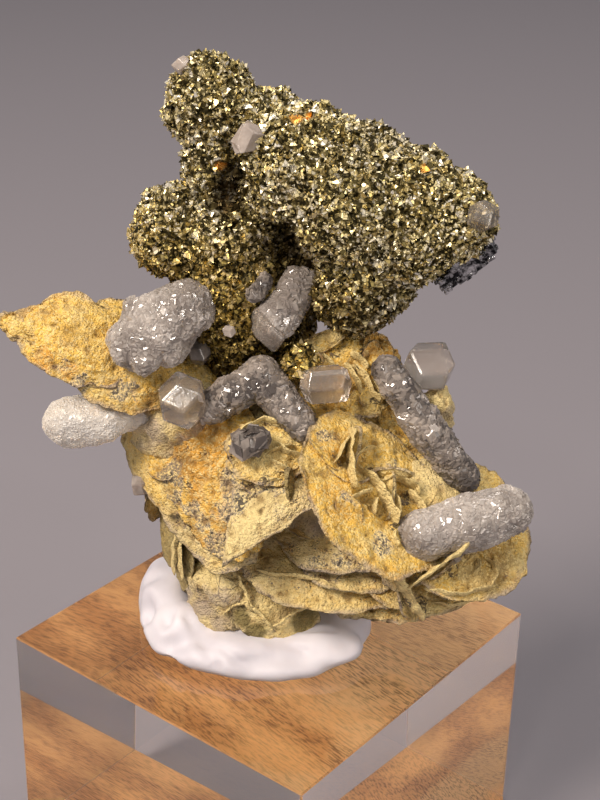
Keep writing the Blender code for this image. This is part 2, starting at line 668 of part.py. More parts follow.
def main():
    for obj in list(bpy.data.objects):
        bpy.data.objects.remove(obj, do_unlink=True)

    brass = make_material("chalcopyrite", (0.36, 0.28, 0.10), 0.35, metallic=0.9)
    tints = {
        "pale": make_material("calcite_pale", (0.72, 0.68, 0.68), 0.3, clear=0.3, ior=1.6),
        "white": make_material("calcite_white", (0.84, 0.80, 0.79), 0.4, clear=0.2, ior=1.6),
        "smoky": make_material("calcite_smoky", (0.38, 0.36, 0.37), 0.25, clear=0.3, ior=1.6),
        "clear": make_material("calcite_clear", (0.78, 0.76, 0.74), 0.2, clear=0.5, ior=1.6),
    }

    make_sheet(make_material("wood_grain", (0.48, 0.29, 0.14), 0.5))
    make_block(make_material("acrylic", (0.97, 0.98, 0.98), 0.03, clear=1.0, ior=1.49))
    putty = make_putty(make_material("putty", (0.84, 0.81, 0.82), 0.6))
    siderite = make_siderite(make_material("siderite", (0.55, 0.37, 0.13), 0.85))
    chalcopyrite = make_chalcopyrite(brass)
    bead = make_bead(brass)
    galena = make_galena(make_material("galena", (0.14, 0.14, 0.15), 0.3, metallic=0.8))
    sockets = []
    for seed, group in enumerate(CALCITE_GROUPS, FINGER_SEED):
        sockets += crystal_group(group, seed, tints[group.tint])

    roots = []
    for low, high in ROOT_SLICES:
        points = [point for point in points_of(chalcopyrite) if low * MM < point.z < high * MM]
        roots.append(socket_around(points))
    roots.append(socket_around(points_of(bead)))
    galena_socket = socket_around(points_of(galena))
    cut_away(siderite, roots + [copy_object(socket) for socket in sockets])
    cut_away(bead, [copy_object(socket) for socket in sockets])
    cut_away(chalcopyrite, [galena_socket] + sockets)
    for host in (siderite, chalcopyrite, bead):
        keep_largest_body(host)
        merge_flat_faces(host, FLAT_ANGLE)
    for rounded in (putty, siderite, chalcopyrite, bead):
        shade_round(rounded)


main()
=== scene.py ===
import math
import random

import bmesh
import bpy
from mathutils import Matrix, Vector, noise


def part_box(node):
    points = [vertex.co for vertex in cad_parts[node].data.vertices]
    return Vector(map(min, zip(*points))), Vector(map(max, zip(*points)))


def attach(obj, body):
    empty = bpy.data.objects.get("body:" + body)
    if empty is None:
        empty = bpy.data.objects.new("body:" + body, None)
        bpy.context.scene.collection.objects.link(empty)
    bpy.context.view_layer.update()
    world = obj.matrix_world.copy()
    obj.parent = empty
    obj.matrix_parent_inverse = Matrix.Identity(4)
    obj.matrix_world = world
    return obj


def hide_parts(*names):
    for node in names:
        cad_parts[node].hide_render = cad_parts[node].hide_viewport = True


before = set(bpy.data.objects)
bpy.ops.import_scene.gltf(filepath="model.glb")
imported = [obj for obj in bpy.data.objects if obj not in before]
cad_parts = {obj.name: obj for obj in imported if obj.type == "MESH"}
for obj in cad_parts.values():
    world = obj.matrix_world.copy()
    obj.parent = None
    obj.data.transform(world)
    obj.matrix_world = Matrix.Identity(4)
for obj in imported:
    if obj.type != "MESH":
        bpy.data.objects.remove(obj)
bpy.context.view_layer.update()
print("frame loaded:", len(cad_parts), "nodes")

# Shapes are worked out in millimetres, in the frame's own axes, and scaled once when a piece is made.
millimetre = 0.001


# Shape helpers

def facing(middle, faces, along):
    # A place whose third axis looks one way and whose first axis runs along another.
    up = Vector(faces).normalized()
    side = Vector(along)
    side = (side - up * side.dot(up)).normalized()
    turn = Matrix((side, up.cross(side), up)).transposed().to_4x4()
    return Matrix.Translation(Vector(middle)) @ turn


def smoothStep(low, high, value):
    share = min(1.0, max(0.0, (value - low) / (high - low)))
    return share * share * (3.0 - 2.0 * share)


def offLine(point, start, end):
    # The shortest way from a line to a point.
    run = end - start
    share = min(1.0, max(0.0, (point - start).dot(run) / max(run.length_squared, 1e-9)))
    return point - start - run * share


def bmeshToMesh(bm, name):
    mesh = bpy.data.meshes.new(name)
    bm.to_mesh(mesh)
    bm.free()
    return mesh


def linked(name, content):
    thing = bpy.data.objects.new(name, content)
    bpy.context.scene.collection.objects.link(thing)
    return thing


def throughModifiers(bm, addModifiers):
    # Sends a bmesh through some modifiers and gives it back as a new one.
    mesh = bmeshToMesh(bm, "working")
    thing = linked("working", mesh)
    addModifiers(thing)
    graph = bpy.context.evaluated_depsgraph_get()
    made = bpy.data.meshes.new_from_object(thing.evaluated_get(graph))
    result = bmesh.new()
    result.from_mesh(made)
    bpy.data.objects.remove(thing)
    bpy.data.meshes.remove(mesh)
    bpy.data.meshes.remove(made)
    return result


def melt(bm, voxel, smoothing):
    # Joins lumps that overlap into one skin.
    def addModifiers(thing):
        skin = thing.modifiers.new("Skin", "REMESH")
        skin.mode = "VOXEL"
        skin.voxel_size = voxel
        soften = thing.modifiers.new("Soften", "SMOOTH")
        soften.factor = 0.5
        soften.iterations = smoothing

    return throughModifiers(bm, addModifiers)


lumpLook = {"detail": 4, "wobble": 0.12, "wave": 1.3}


def addLumps(bm, lumps):
    # Uneven balls, each a middle and three half sizes.
    look = lumpLook
    for middle, half in lumps:
        spot = Vector(middle)
        for vert in bmesh.ops.create_icosphere(bm, subdivisions=look["detail"], radius=1.0)["verts"]:
            swell = 1.0 + look["wobble"] * noise.noise(vert.co * look["wave"] + spot)
            vert.co = Vector([vert.co[i] * half[i] * swell for i in range(3)]) + spot


def pushOut(bm, heightAt):
    # Moves every point along its normal by a height worked out from where it is.
    bm.normal_update()
    for vert in bm.verts:
        vert.co += vert.normal * heightAt(vert.co)


def pressDents(bm, dents):
    # Each dent is pressed in along a line: start, end, width and depth.
    lines = [(Vector(start), Vector(end), width, deep) for start, end, width, deep in dents]

    def dentAt(point):
        depth = 0.0
        for start, end, width, deep in lines:
            away = offLine(point, start, end).length / width
            depth += deep * math.exp(-away * away)
        return -depth

    pushOut(bm, dentAt)


def roughen(bm, layers):
    # Each layer is a height and a grain, both in millimetres.
    pushOut(bm, lambda point: sum(tall * noise.noise(point / grain) for tall, grain in layers))


def capCut(bm, point, outward):
    # Cuts off what lies past a plane and closes the cut.
    parts = bm.verts[:] + bm.edges[:] + bm.faces[:]
    cut = bmesh.ops.bisect_plane(bm, geom=parts, dist=0.0001, plane_co=point, plane_no=outward,
                                 clear_outer=True)
    rim = [part for part in cut["geom_cut"] if isinstance(part, bmesh.types.BMEdge)]
    if rim:
        bmesh.ops.contextual_create(bm, geom=rim)


def makePiece(name, bm, material, node, smooth=False):
    bmesh.ops.scale(bm, vec=(millimetre,) * 3, verts=bm.verts)
    mesh = bmeshToMesh(bm, name)
    mesh.materials.append(material)
    for face in mesh.polygons:
        face.use_smooth = smooth
    piece = linked(name, mesh)
    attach(piece, "root")
    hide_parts(node)
    print(name, sum(len(face.vertices) - 2 for face in mesh.polygons), "triangles")


# Materials

class Nodes:
    # Short ways to add nodes to a tree and join them.
    def __init__(self, tree):
        self.tree = tree

    def give(self, socket, value):
        # An input takes another node's output, a colour of three parts or a plain value.
        if isinstance(value, bpy.types.NodeSocket):
            self.tree.links.new(value, socket)
        elif socket.type == "RGBA":
            socket.default_value = (*value, 1.0)
        else:
            socket.default_value = value

    def add(self, kind, **values):
        # A name in lower case is a setting of the node, and one with a capital is an input.
        node = self.tree.nodes.new(kind)
        for label, value in values.items():
            if label[0].islower():
                setattr(node, label, value)
            else:
                self.give(node.inputs[label.replace("_", " ")], value)
        return node

    def maths(self, operation, one, other):
        node = self.add("ShaderNodeMath", operation=operation)
        self.give(node.inputs[0], one)
        self.give(node.inputs[1], other)
        return node.outputs[0]

    def plus(self, one, other):
        return self.maths("ADD", one, other)

    def minus(self, one, other):
        return self.maths("SUBTRACT", one, other)

    def times(self, one, other):
        return self.maths("MULTIPLY", one, other)

    def larger(self, one, other):
        return self.maths("MAXIMUM", one, other)

    def vectorMaths(self, operation, *inputs, **named):
        node = self.add("ShaderNodeVectorMath", operation=operation, **named)
        for socket, value in zip(node.inputs, inputs):
            self.give(socket, value)
        return node.outputs["Value" if operation == "DISTANCE" else "Vector"]

    def place(self):
        return self.add("ShaderNodeTexCoord").outputs["Object"]

    def noise(self, scale, detail=3.0, roughness=0.5, vector=None):
        return self.add("ShaderNodeTexNoise", Scale=scale, Detail=detail, Roughness=roughness,
                        Vector=vector or self.place()).outputs["Fac"]

    def span(self, value, low, high, newLow=0.0, newHigh=1.0, **settings):
        # A value between low and high becomes one between newLow and newHigh.
        return self.add("ShaderNodeMapRange", From_Min=low, From_Max=high, To_Min=newLow, To_Max=newHigh,
                        Value=value, **settings).outputs["Result"]

    def red(self, colour):
        return self.add("ShaderNodeSeparateColor", Color=colour).outputs["Red"]


class NodeGroup(Nodes):
    # A shader node group with number inputs.
    def __init__(self, name, **inputs):
        super().__init__(bpy.data.node_groups.new(name, "ShaderNodeTree"))
        for label, value in inputs.items():
            self.socket(label, "INPUT", "NodeSocketFloat").default_value = value
        self.given = self.add("NodeGroupInput").outputs

    def socket(self, label, way, kind):
        return self.tree.interface.new_socket(label, in_out=way, socket_type=kind)

    def put(self, **outputs):
        for label, value in outputs.items():
            self.socket(label, "OUTPUT", "NodeSocketVector" if value.type == "VECTOR" else "NodeSocketFloat")
        self.add("NodeGroupOutput", **outputs)


class Finish(Nodes):
    # A material under construction.
    def __init__(self, name, **fixed):
        self.material = bpy.data.materials.new(name)
        self.material.use_nodes = True
        super().__init__(self.material.node_tree)
        self.shader = self.tree.nodes["Principled BSDF"]
        self.set(**fixed)

    def set(self, **values):
        for label, value in values.items():
            self.give(self.shader.inputs[label.replace("_", " ")], value)

    def group(self, group, **values):
        return self.add("ShaderNodeGroup", node_tree=group.tree, **values).outputs

    def attribute(self, name):
        return self.add("ShaderNodeAttribute", attribute_name=name).outputs["Fac"]

    def ramp(self, value, *stops):
        node = self.add("ShaderNodeValToRGB", Fac=value)
        band = node.color_ramp
        while len(band.elements) < len(stops):
            band.elements.new(0.5)
        for element, (position, colour) in zip(band.elements, stops):
            element.position = position
            element.color = (*colour, 1.0)
        return node.outputs["Color"]

    def mix(self, share, one, other):
        node = self.add("ShaderNodeMix", data_type="RGBA", Factor=share)
        self.give(node.inputs[6], one)
        self.give(node.inputs[7], other)
        return node.outputs[2]

    def mapped(self, scale, rotation=(0.0, 0.0, 0.0), **settings):
        return self.add("ShaderNodeMapping", **settings, Scale=scale, Rotation=rotation,
                        Vector=self.place()).outputs["Vector"]

    def spots(self, patches, wander=0.6, wave=450.0):
        # How near a point is to the nearest of some patches, given in mm as a place and a reach.
        edge = wander * millimetre
        shift = self.span(self.noise(wave, 4.0, 0.6), 0.3, 0.7, -edge, edge)
        total = None
        for place, reach in patches:
            away = self.vectorMaths("DISTANCE", self.place(), [value * millimetre for value in place])
            near = self.span(self.plus(away, shift), reach * millimetre * 1.15, reach * millimetre * 0.7)
            total = near if total is None else self.larger(total, near)
        return total

    def bump(self, height, strength, distance):
        bump = self.add("ShaderNodeBump", Strength=strength, Distance=distance, Height=height)
        self.set(Normal=bump.outputs["Normal"])


def speckleGroup():
    # Blotches of one size with a soft edge.
    g = NodeGroup("Speckle", Scale=1000.0, Coverage=0.4, Softness=0.05)
    spots = g.noise(g.given["Scale"], 4.0, 0.65)
    line = g.minus(1.0, g.given["Coverage"])
    top = g.plus(line, g.given["Softness"])
    g.put(Mask=g.span(spots, line, top, interpolation_type="SMOOTHSTEP"))
    return g


def grainGroup():
    # Rounded grains: a shade for each, and a height with pits between them.
    g = NodeGroup("Grain", Scale=2000.0, Pits=0.5)
    scale, place = g.given["Scale"], g.place()
    rough = g.add("ShaderNodeTexNoise", Scale=scale, Detail=3.0, Vector=place).outputs
    bent = g.add("ShaderNodeMix", data_type="VECTOR", blend_type="MIX", Factor=0.00022)
    g.give(bent.inputs[4], place)
    g.give(bent.inputs[5], rough["Color"])
    cells = g.add("ShaderNodeTexVoronoi", Scale=scale, Vector=bent.outputs[1]).outputs
    height = g.minus(g.times(rough["Fac"], g.given["Pits"]), cells["Distance"])
    g.put(Height=height, Shade=g.red(cells["Color"]))
    return g


def glitterGroup():
    # Tiny facets, each with a shade and a tilt of its own.
    g = NodeGroup("Glitter", Scale=3000.0, Tilt=1.2)
    sides = {"Scale": g.given["Scale"], "Vector": g.place()}
    cells = g.add("ShaderNodeTexVoronoi", **sides).outputs["Color"]
    edges = g.add("ShaderNodeTexVoronoi", feature="DISTANCE_TO_EDGE", **sides).outputs["Distance"]
    lean = g.vectorMaths("SCALE", g.vectorMaths("SUBTRACT", cells, (0.5, 0.5, 0.5)), Scale=g.given["Tilt"])
    turned = g.vectorMaths("ADD", g.add("ShaderNodeNewGeometry").outputs["Normal"], lean)
    g.put(Shade=g.red(cells), Edge=edges, Normal=g.vectorMaths("NORMALIZE", turned))
    return g


grain = grainGroup()

sideriteLook = {
    "cream": (1.0, 0.80, 0.36),
    "ochre": (1.0, 0.64, 0.115),
    "orange": (0.86, 0.44, 0.062),
    "ash": (0.30, 0.26, 0.20),
    # dark: the colour of real dark grains, and also of the painted shade in the hollows
    "dark": (0.085, 0.072, 0.055),
    "greige": (0.98, 0.85, 0.61),
    "rim": (0.46, 0.37, 0.31),
    # olive: dark olive, partly the plates' own tone and partly painted shade low down
    "olive": (0.17, 0.13, 0.035),
    # pit: the colour of real pits, and also of the painted shade in low spots and shade patches
    "pit": (0.24, 0.12, 0.03),
    "seam": (0.16, 0.11, 0.06),
    "patchScale": 230.0,
    "patchTone": 0.24,        # how far the broad patches shift the tone
    "coarseScale": 2300.0,
    "gritScale": 5200.0,
    "fineScale": 2600.0,
    "mottleScale": 1500.0,
    "clusterScale": 210.0,    # where the ash gathers
    "crackScale": 330.0,
    "crackBend": 0.0014,
    "bandScale": (300.0, 300.0, 3600.0),
    "bandTurn": (0.5, 0.25, 0.0),
    "relief": 0.00036,
}

# Patches on the plates: a place and a reach, mm
sideriteSpots = {
    "orange": (
        ((-7.1, -2.8, 50.3), 2.6), ((-8.4, -3.6, 48.8), 2.2), ((-7.0, -4.2, 48.4), 1.8),
        ((-7.6, -5.2, 46.0), 1.3), ((10.4, 2.6, 58.8), 2.2), ((4.3, 1.7, 58.5), 1.1),
        ((-11.4, -1.2, 50.8), 0.9), ((-22.0, -3.2, 58.8), 1.0), ((-20.0, -3.6, 57.8), 0.9),
    ),
    "ash": (
        ((-4.3, -6.0, 47.6), 1.8), ((-3.7, -7.4, 46.2), 1.9), ((-4.2, -7.4, 44.8), 1.9),
        ((-5.6, -7.6, 44.6), 1.2), ((5.0, -5.9, 52.4), 0.9), ((7.0, -11.0, 48.0), 0.6),
        ((10.0, -12.4, 44.4), 1.4), ((-0.8, -8.2, 48.4), 1.2), ((-19.6, -4.0, 56.4), 1.1),
        ((-14.6, -3.4, 56.0), 1.6), ((-20.6, -3.4, 58.0), 0.9), ((12.4, -5.0, 49.6), 0.7),
        ((-10.6, -2.6, 46.8), 1.0), ((-9.4, -4.4, 45.2), 1.2), ((-8.2, -5.6, 44.2), 1.1),
        ((-7.0, -6.6, 43.2), 1.2), ((-5.6, -7.7, 42.0), 1.2),
    ),
    # dark spots: painted shade in the hollows between the walls and under the plates, over dark pits
    "dark": (
        ((-2.4, -7.9, 47.8), 0.75), ((-3.0, -8.2, 46.7), 0.65), ((-3.5, -8.3, 45.9), 0.55),
        ((-8.2, -4.8, 46.1), 0.35), ((-6.9, -3.8, 48.9), 0.25), ((-8.9, -2.8, 49.2), 0.25),
        ((-1.0, -7.8, 49.0), 0.6), ((9.1, -6.3, 49.7), 0.7), ((6.2, -7.4, 50.9), 0.6),
        ((10.1, -9.6, 47.0), 0.7), ((12.1, -6.8, 47.3), 0.8), ((12.7, -7.6, 46.5), 0.5),
        ((11.6, -10.2, 45.5), 0.4), ((8.4, -5.4, 51.4), 0.5), ((17.0, -10.5, 41.1), 1.1),
        ((12.4, -12.0, 37.8), 0.9), ((14.9, -9.8, 36.2), 0.9), ((7.4, 0.1, 56.7), 0.5),
        ((10.0, -1.5, 54.3), 0.6), ((8.2, 1.5, 58.4), 0.4), ((5.6, 0.9, 58.3), 0.5),
        ((5.0, 0.9, 57.3), 0.5),
    ),
    # olive spots low at the bottom: painted shade under the lower plates
    "olive": (((-3.1, -6.7, 32.2), 1.3), ((3.4, -5.6, 31.8), 1.7), ((-1.6, -7.2, 31.0), 1.2)),
    # painted shade patches: the right lobe and spots on the lower plates are darkened with the pit colour
    "tan": (
        ((20.5, -9.5, 41.2), 4.2), ((15.0, -8.6, 52.6), 2.0), ((13.4, -12.0, 38.6), 1.6),
        ((16.2, -11.2, 38.1), 1.3), ((9.2, -6.4, 49.6), 0.9), ((10.3, -9.7, 46.7), 0.9),
        ((12.4, -7.2, 46.9), 0.9), ((6.2, -7.6, 50.7), 0.7), ((-9.6, -3.6, 45.6), 1.6),
        ((-11.0, -1.6, 48.6), 1.4),
    ),
    "crack": (((-5.4, -5.9, 34.8), 3.4), ((-3.2, -8.6, 43.4), 2.2), ((8.8, -9.0, 46.0), 1.8)),
}


def sideriteMaterial():
    own, spots = sideriteLook, sideriteSpots
    f = Finish("sideriteFinish")
    ash = f.attribute("ash")
    patches = f.span(f.noise(own["patchScale"], 5.0, 0.6), 0.35, 0.68, -own["patchTone"], own["patchTone"])
    warm = f.plus(f.plus(patches, f.attribute("tone")), f.times(f.spots(spots["orange"]), 0.75))
    coarse = f.group(grain, Scale=own["coarseScale"], Pits=0.8)
    grit = f.group(grain, Scale=own["gritScale"], Pits=0.8)
    fine = f.noise(own["fineScale"], 4.0, 0.7)
    clusters = f.span(f.noise(own["clusterScale"], 4.0, 0.6), 0.44, 0.62)
    cover = f.larger(f.times(ash, f.plus(f.times(clusters, 0.80), 0.15)),
                     f.times(f.spots(spots["ash"], 1.3), 0.76))
    # Dark grains where the ash gathers, and painted shade from the dark spots.
    darkGrainsAndShade = f.larger(f.times(f.minus(cover, 0.12), 0.54),
                         f.times(f.spots(spots["dark"], 0.7, 700.0), 0.62))
    mottled = f.times(f.plus(grit["Shade"], f.span(f.noise(own["mottleScale"], 5.0, 0.75), 0.32, 0.68)), 0.5)
    bend = f.add("ShaderNodeTexNoise", Scale=700.0, Detail=3.0, Vector=f.place()).outputs["Color"]
    bent = f.vectorMaths("MULTIPLY_ADD", bend, (own["crackBend"],) * 3, f.place())
    cracks = f.add("ShaderNodeTexVoronoi", feature="DISTANCE_TO_EDGE", Scale=own["crackScale"], Vector=bent)
    crack = f.times(f.span(cracks.outputs["Distance"], 0.030, 0.010), f.spots(spots["crack"]))
    bands = f.noise(1.0, 3.0, 0.6, f.mapped(own["bandScale"], own["bandTurn"]))
    layers = (   # from the lowest to the topmost: where it lies, and its colour
        (f.span(coarse["Shade"], 0.5, 1.0, 0.0, 0.45), "cream"),
        (f.span(fine, 0.38, 0.30, 0.0, 0.5), "pit"),
        (f.times(cover, 0.65), "greige"),
        # painted shade patches in the pit colour
        (f.times(f.spots(spots["tan"], 1.5), 0.42), "pit"),
        (f.span(grit["Shade"], 0.60, 0.88, 0.0, 0.75), "cream"),
        (f.span(mottled, 0.33, 0.18, 0.0, 0.5), "pit"),
        (f.span(f.minus(f.times(cover, 0.76), mottled), 0.0, 0.08, 0.0, 0.80), "ash"),
        # dark grains, with painted shade in the hollows and under the plates
        (f.span(f.minus(darkGrainsAndShade, mottled), 0.0, 0.08, 0.0, 0.85), "dark"),
        (f.times(crack, 0.75), "seam"),
        # painted shade in the low spots of the grainy skin and at the foot of the walls
        (f.span(f.attribute("height"), -0.02, -0.32, 0.0, 0.72), "pit"),
        (f.times(f.attribute("rim"), f.span(f.noise(420.0), 0.35, 0.6, 0.10, 0.70)), "rim"),
        (f.times(f.attribute("layer"), f.span(bands, 0.46, 0.60, 0.0, 0.75)), "seam"),
        # olive: painted shade low at the bottom, and partly painted shade on the left blades
        (f.larger(f.attribute("olive"), f.times(f.spots(spots["olive"]), 0.85)), "olive"),
    )
    base = f.ramp(warm, (0.12, own["cream"]), (0.55, own["ochre"]), (1.05, own["orange"]))
    for share, colour in layers:
        base = f.mix(share, base, own[colour])
    relief = f.plus(f.times(coarse["Height"], 0.7), f.times(grit["Height"], 0.6))
    f.bump(f.plus(relief, f.times(fine, 0.7)), 1.0, own["relief"])
    f.set(Base_Color=base, Roughness=f.span(fine, 0.3, 0.7, 0.95, 0.62))
    return f.material


sulphideColours = {
    "black": (0.050, 0.042, 0.020),
    "olive": (0.27, 0.22, 0.085),
    "brass": (0.78, 0.63, 0.27),
    "gold": (0.95, 0.83, 0.44),
    "silver": (0.96, 0.92, 0.80),
    # low: the golden tone low on the left, partly painted reflection of the siderite below
    "low": (0.80, 0.54, 0.08),
    # brown: the colour of the painted shade low down and in the hollows
    "brown": (0.050, 0.030, 0.012),
    "fleck": (0.85, 0.45, 0.10),
    "fleckSpots": (((1.5, 0.2, 82.1), 0.65), ((2.5, 0.9, 82.0), 0.65), ((13.3, -2.0, 78.4), 0.5),
                   ((-5.7, 2.1, 76.7), 0.5)),
}


def sulphideMaterial():
    own = sulphideColours
    f = Finish("sulphideFinish")
    facets = f.group(glitterGroup(), Scale=2600.0, Tilt=1.0)
    golden = f.attribute("golden")
    shade = f.plus(f.times(f.attribute("tint"), 0.55), f.times(facets["Shade"], 0.45))
    silvery = f.times(f.span(f.noise(160.0, 4.0, 0.6), 0.52, 0.66, 0.0, 0.6), f.minus(1.0, golden))
    layers = (   # from the lowest to the topmost: where it lies, and its colour
        (f.times(silvery, f.span(shade, 0.35, 0.6)), "silver"),
        # golden tone low on the left: partly the crust's own tone, partly painted reflection of the siderite
        # below
        (f.times(f.times(golden, 0.75), f.span(shade, 0.25, 0.5)), "low"),
        # black at the edges of the tiny facets: painted shade in the gaps between the crystals
        (f.span(facets["Edge"], 0.10, 0.02, 0.0, 0.8), "black"),
        # painted shade low down and in the hollows, in dark brown
        (f.attribute("paintedShade"), "brown"),
        (f.spots(own["fleckSpots"], 0.3), "fleck"),
    )
    # The pale gold and silver end of the ramp, on flakes made less metallic below, is partly the crystals'
    # own tone and partly painted glints.
    base = f.ramp(shade, (0.20, own["black"]), (0.36, own["olive"]), (0.49, own["brass"]),
                  (0.63, own["gold"]), (0.86, own["silver"]))
    for share, colour in layers:
        base = f.mix(share, base, own[colour])
    f.set(Base_Color=base, Normal=facets["Normal"], Metallic=f.span(shade, 0.42, 0.68, 1.0, 0.45),
          Roughness=f.span(shade, 0.2, 0.8, 0.5, 0.28))
    return f.material


def galenaMaterial():
    f = Finish("galenaFinish", Metallic=1.0)
    fine = f.noise(1800.0, 4.0, 0.6)
    f.set(Base_Color=f.ramp(fine, (0.42, (0.018, 0.018, 0.020)), (0.64, (0.66, 0.66, 0.68))),
          Roughness=f.span(fine, 0.3, 0.7, 0.34, 0.06))
    f.bump(f.group(grain, Scale=5000.0, Pits=0.8)["Height"], 0.4, 0.0001)
    return f.material


# light and dark colour, how clear, how rough, how soft, and how much one small crystal differs from the next
calciteLooks = {
    "pale": ((0.93, 0.83, 0.75), (0.40, 0.34, 0.30), 0.34, 0.12, 0.4, 0.24),
    "white": ((1.0, 0.94, 0.87), (0.98, 0.87, 0.74), 0.05, 0.34, 0.5, 0.24),
    "smoky": ((0.62, 0.53, 0.46), (0.13, 0.11, 0.10), 0.35, 0.10, 0.3, 0.36),
    "clear": ((0.97, 0.92, 0.86), (0.74, 0.66, 0.58), 0.86, 0.13, 0.3, 0.36),
}


def calciteMaterial(kind, light, dark, clear, rough, soft, vary):
    f = Finish("calcite-" + kind, IOR=1.6, Transmission_Weight=clear, Subsurface_Weight=soft,
               Subsurface_Scale=0.0008, Subsurface_Radius=(1.0, 0.9, 0.85))
    cloudy = f.span(f.noise(260.0, 4.0, 0.6), 0.33, 0.67)
    tint = f.span(f.attribute("tint"), 0.0, 1.0, -vary, vary)
    share = f.minus(f.plus(cloudy, tint), f.attribute("darkening"))
    f.set(Base_Color=f.ramp(share, (0.0, dark), (1.0, light)),
          Roughness=f.span(f.noise(900.0), 0.3, 0.7, rough * 0.6, rough * 1.6))
    f.bump(f.noise(2600.0, 2.0, 0.5), 0.2, 0.00005)
    return f.material


def puttyMaterial():
    f = Finish("puttyFinish", Subsurface_Weight=0.12, Subsurface_Scale=0.0015,
               Subsurface_Radius=(1.0, 0.8, 0.8))
    broad = f.noise(180.0, 3.0)
    base = f.ramp(broad, (0.3, (0.54, 0.52, 0.575)), (0.7, (0.68, 0.66, 0.71)))
    specks = f.group(speckleGroup(), Scale=420.0, Coverage=0.225, Softness=0.01)["Mask"]
    f.set(Base_Color=f.mix(f.times(specks, 0.5), base, (0.45, 0.43, 0.42)),
          Roughness=f.span(broad, 0.3, 0.7, 0.5, 0.62))
    f.bump(f.noise(2200.0, 3.0), 0.12, 0.00008)
    return f.material


def acrylicMaterial():
    f = Finish("acrylicFinish", IOR=1.49, Transmission_Weight=1.0, Base_Color=(0.985, 0.98, 0.97))
    stretched = f.mapped((60.0, 5000.0, 60.0), (0.0, 0.0, 0.6))
    scratches = f.span(f.noise(1.0, 2.0, 0.5, stretched), 0.66, 0.72)
    f.set(Roughness=f.times(scratches, f.span(f.noise(90.0), 0.55, 0.7, 0.0, 0.08)))
    return f.material


woodGrain = {
    "turn": -46.0,
    "streak": (0.0015, 0.00024, 0.002),   # length, width and depth of a streak, metres
    "smudge": (0.016, 0.0060, 0.006),
    "pale": (0.92, 0.49, 0.18),
    "brown": (0.60, 0.265, 0.080),
    "dark": (0.20, 0.078, 0.022),
    # light and the patches under it are a painted sheen: pale places where the wood looks lit
    "light": (0.92, 0.58, 0.27),
    "paintedSheen": (((15.0, -5.0, 0.0), 10.0), ((14.0, 7.0, 0.0), 9.0), ((2.0, -13.0, 0.0), 6.0)),
}


def woodMaterial():
    own = woodGrain
    f = Finish("woodGrainFinish")
    turn = (0.0, 0.0, math.radians(own["turn"]))
    streaks = f.noise(1.0, 4.0, 0.6, f.mapped(own["streak"], turn, vector_type="TEXTURE"))
    smudges = f.noise(1.0, 3.0, 0.55, f.mapped(own["smudge"], turn, vector_type="TEXTURE"))
    base = f.ramp(smudges, (0.36, own["brown"]), (0.62, own["pale"]))
    # painted sheen in the light colour
    base = f.mix(f.times(f.spots(own["paintedSheen"], 3.0, 120.0), 0.75), base, own["light"])
    dark = f.times(f.span(streaks, 0.47, 0.62), f.span(smudges, 0.58, 0.42, 0.30, 0.85))
    f.set(Base_Color=f.mix(dark, base, own["dark"]), Roughness=f.span(streaks, 0.3, 0.7, 0.42, 0.6))
    f.bump(streaks, 0.10, 0.0001)
    return f.material


sideriteFinish = sideriteMaterial()
sulphideFinish = sulphideMaterial()
galenaFinish = galenaMaterial()
calciteFinishes = {kind: calciteMaterial(kind, *look) for kind, look in calciteLooks.items()}
puttyFinish = puttyMaterial()
acrylicFinish = acrylicMaterial()
woodFinish = woodMaterial()
print("materials made")


# Siderite: thin plates and lenses

plateLook = {
    "wall": 0.16,            # share of a ball's turn that becomes the plate's rim
    "face": 0.965,           # where the flat face ends, as a share of the radius
    "rimThick": 0.55,        # thickness at the rim as a share of the middle's
    "wobble": (0.10, 1.6),   # the same broad outline that the solid has
    "chips": (0.030, 5.0),
    "nicks": (0.016, 13.0),
    "sheet": 0.30,           # thickness of one growth sheet, mm
    "sheetStep": 0.30,       # how far one sheet stands past the next
    "sheetWave": 2.6,
    "terraces": (0.60, 0.74, 0.84, 0.92),
    "terraceDrop": 0.09,
    "terraceWander": (0.07, 2.2),
    "terraceEdge": 0.015,
    "rimMark": (0.90, 0.985),
    "swells": (0.26, 2.1),
    "lumps": (0.16, 0.95),
    "granules": (0.16, 0.60),
    "granuleMiddle": 0.45,
    "pits": (0.42, 0.80, 0.22),
    "pitShift": (7.0, 3.0, 1.0),
    "point": 1.32,           # how far a cornered plate's corners reach
}

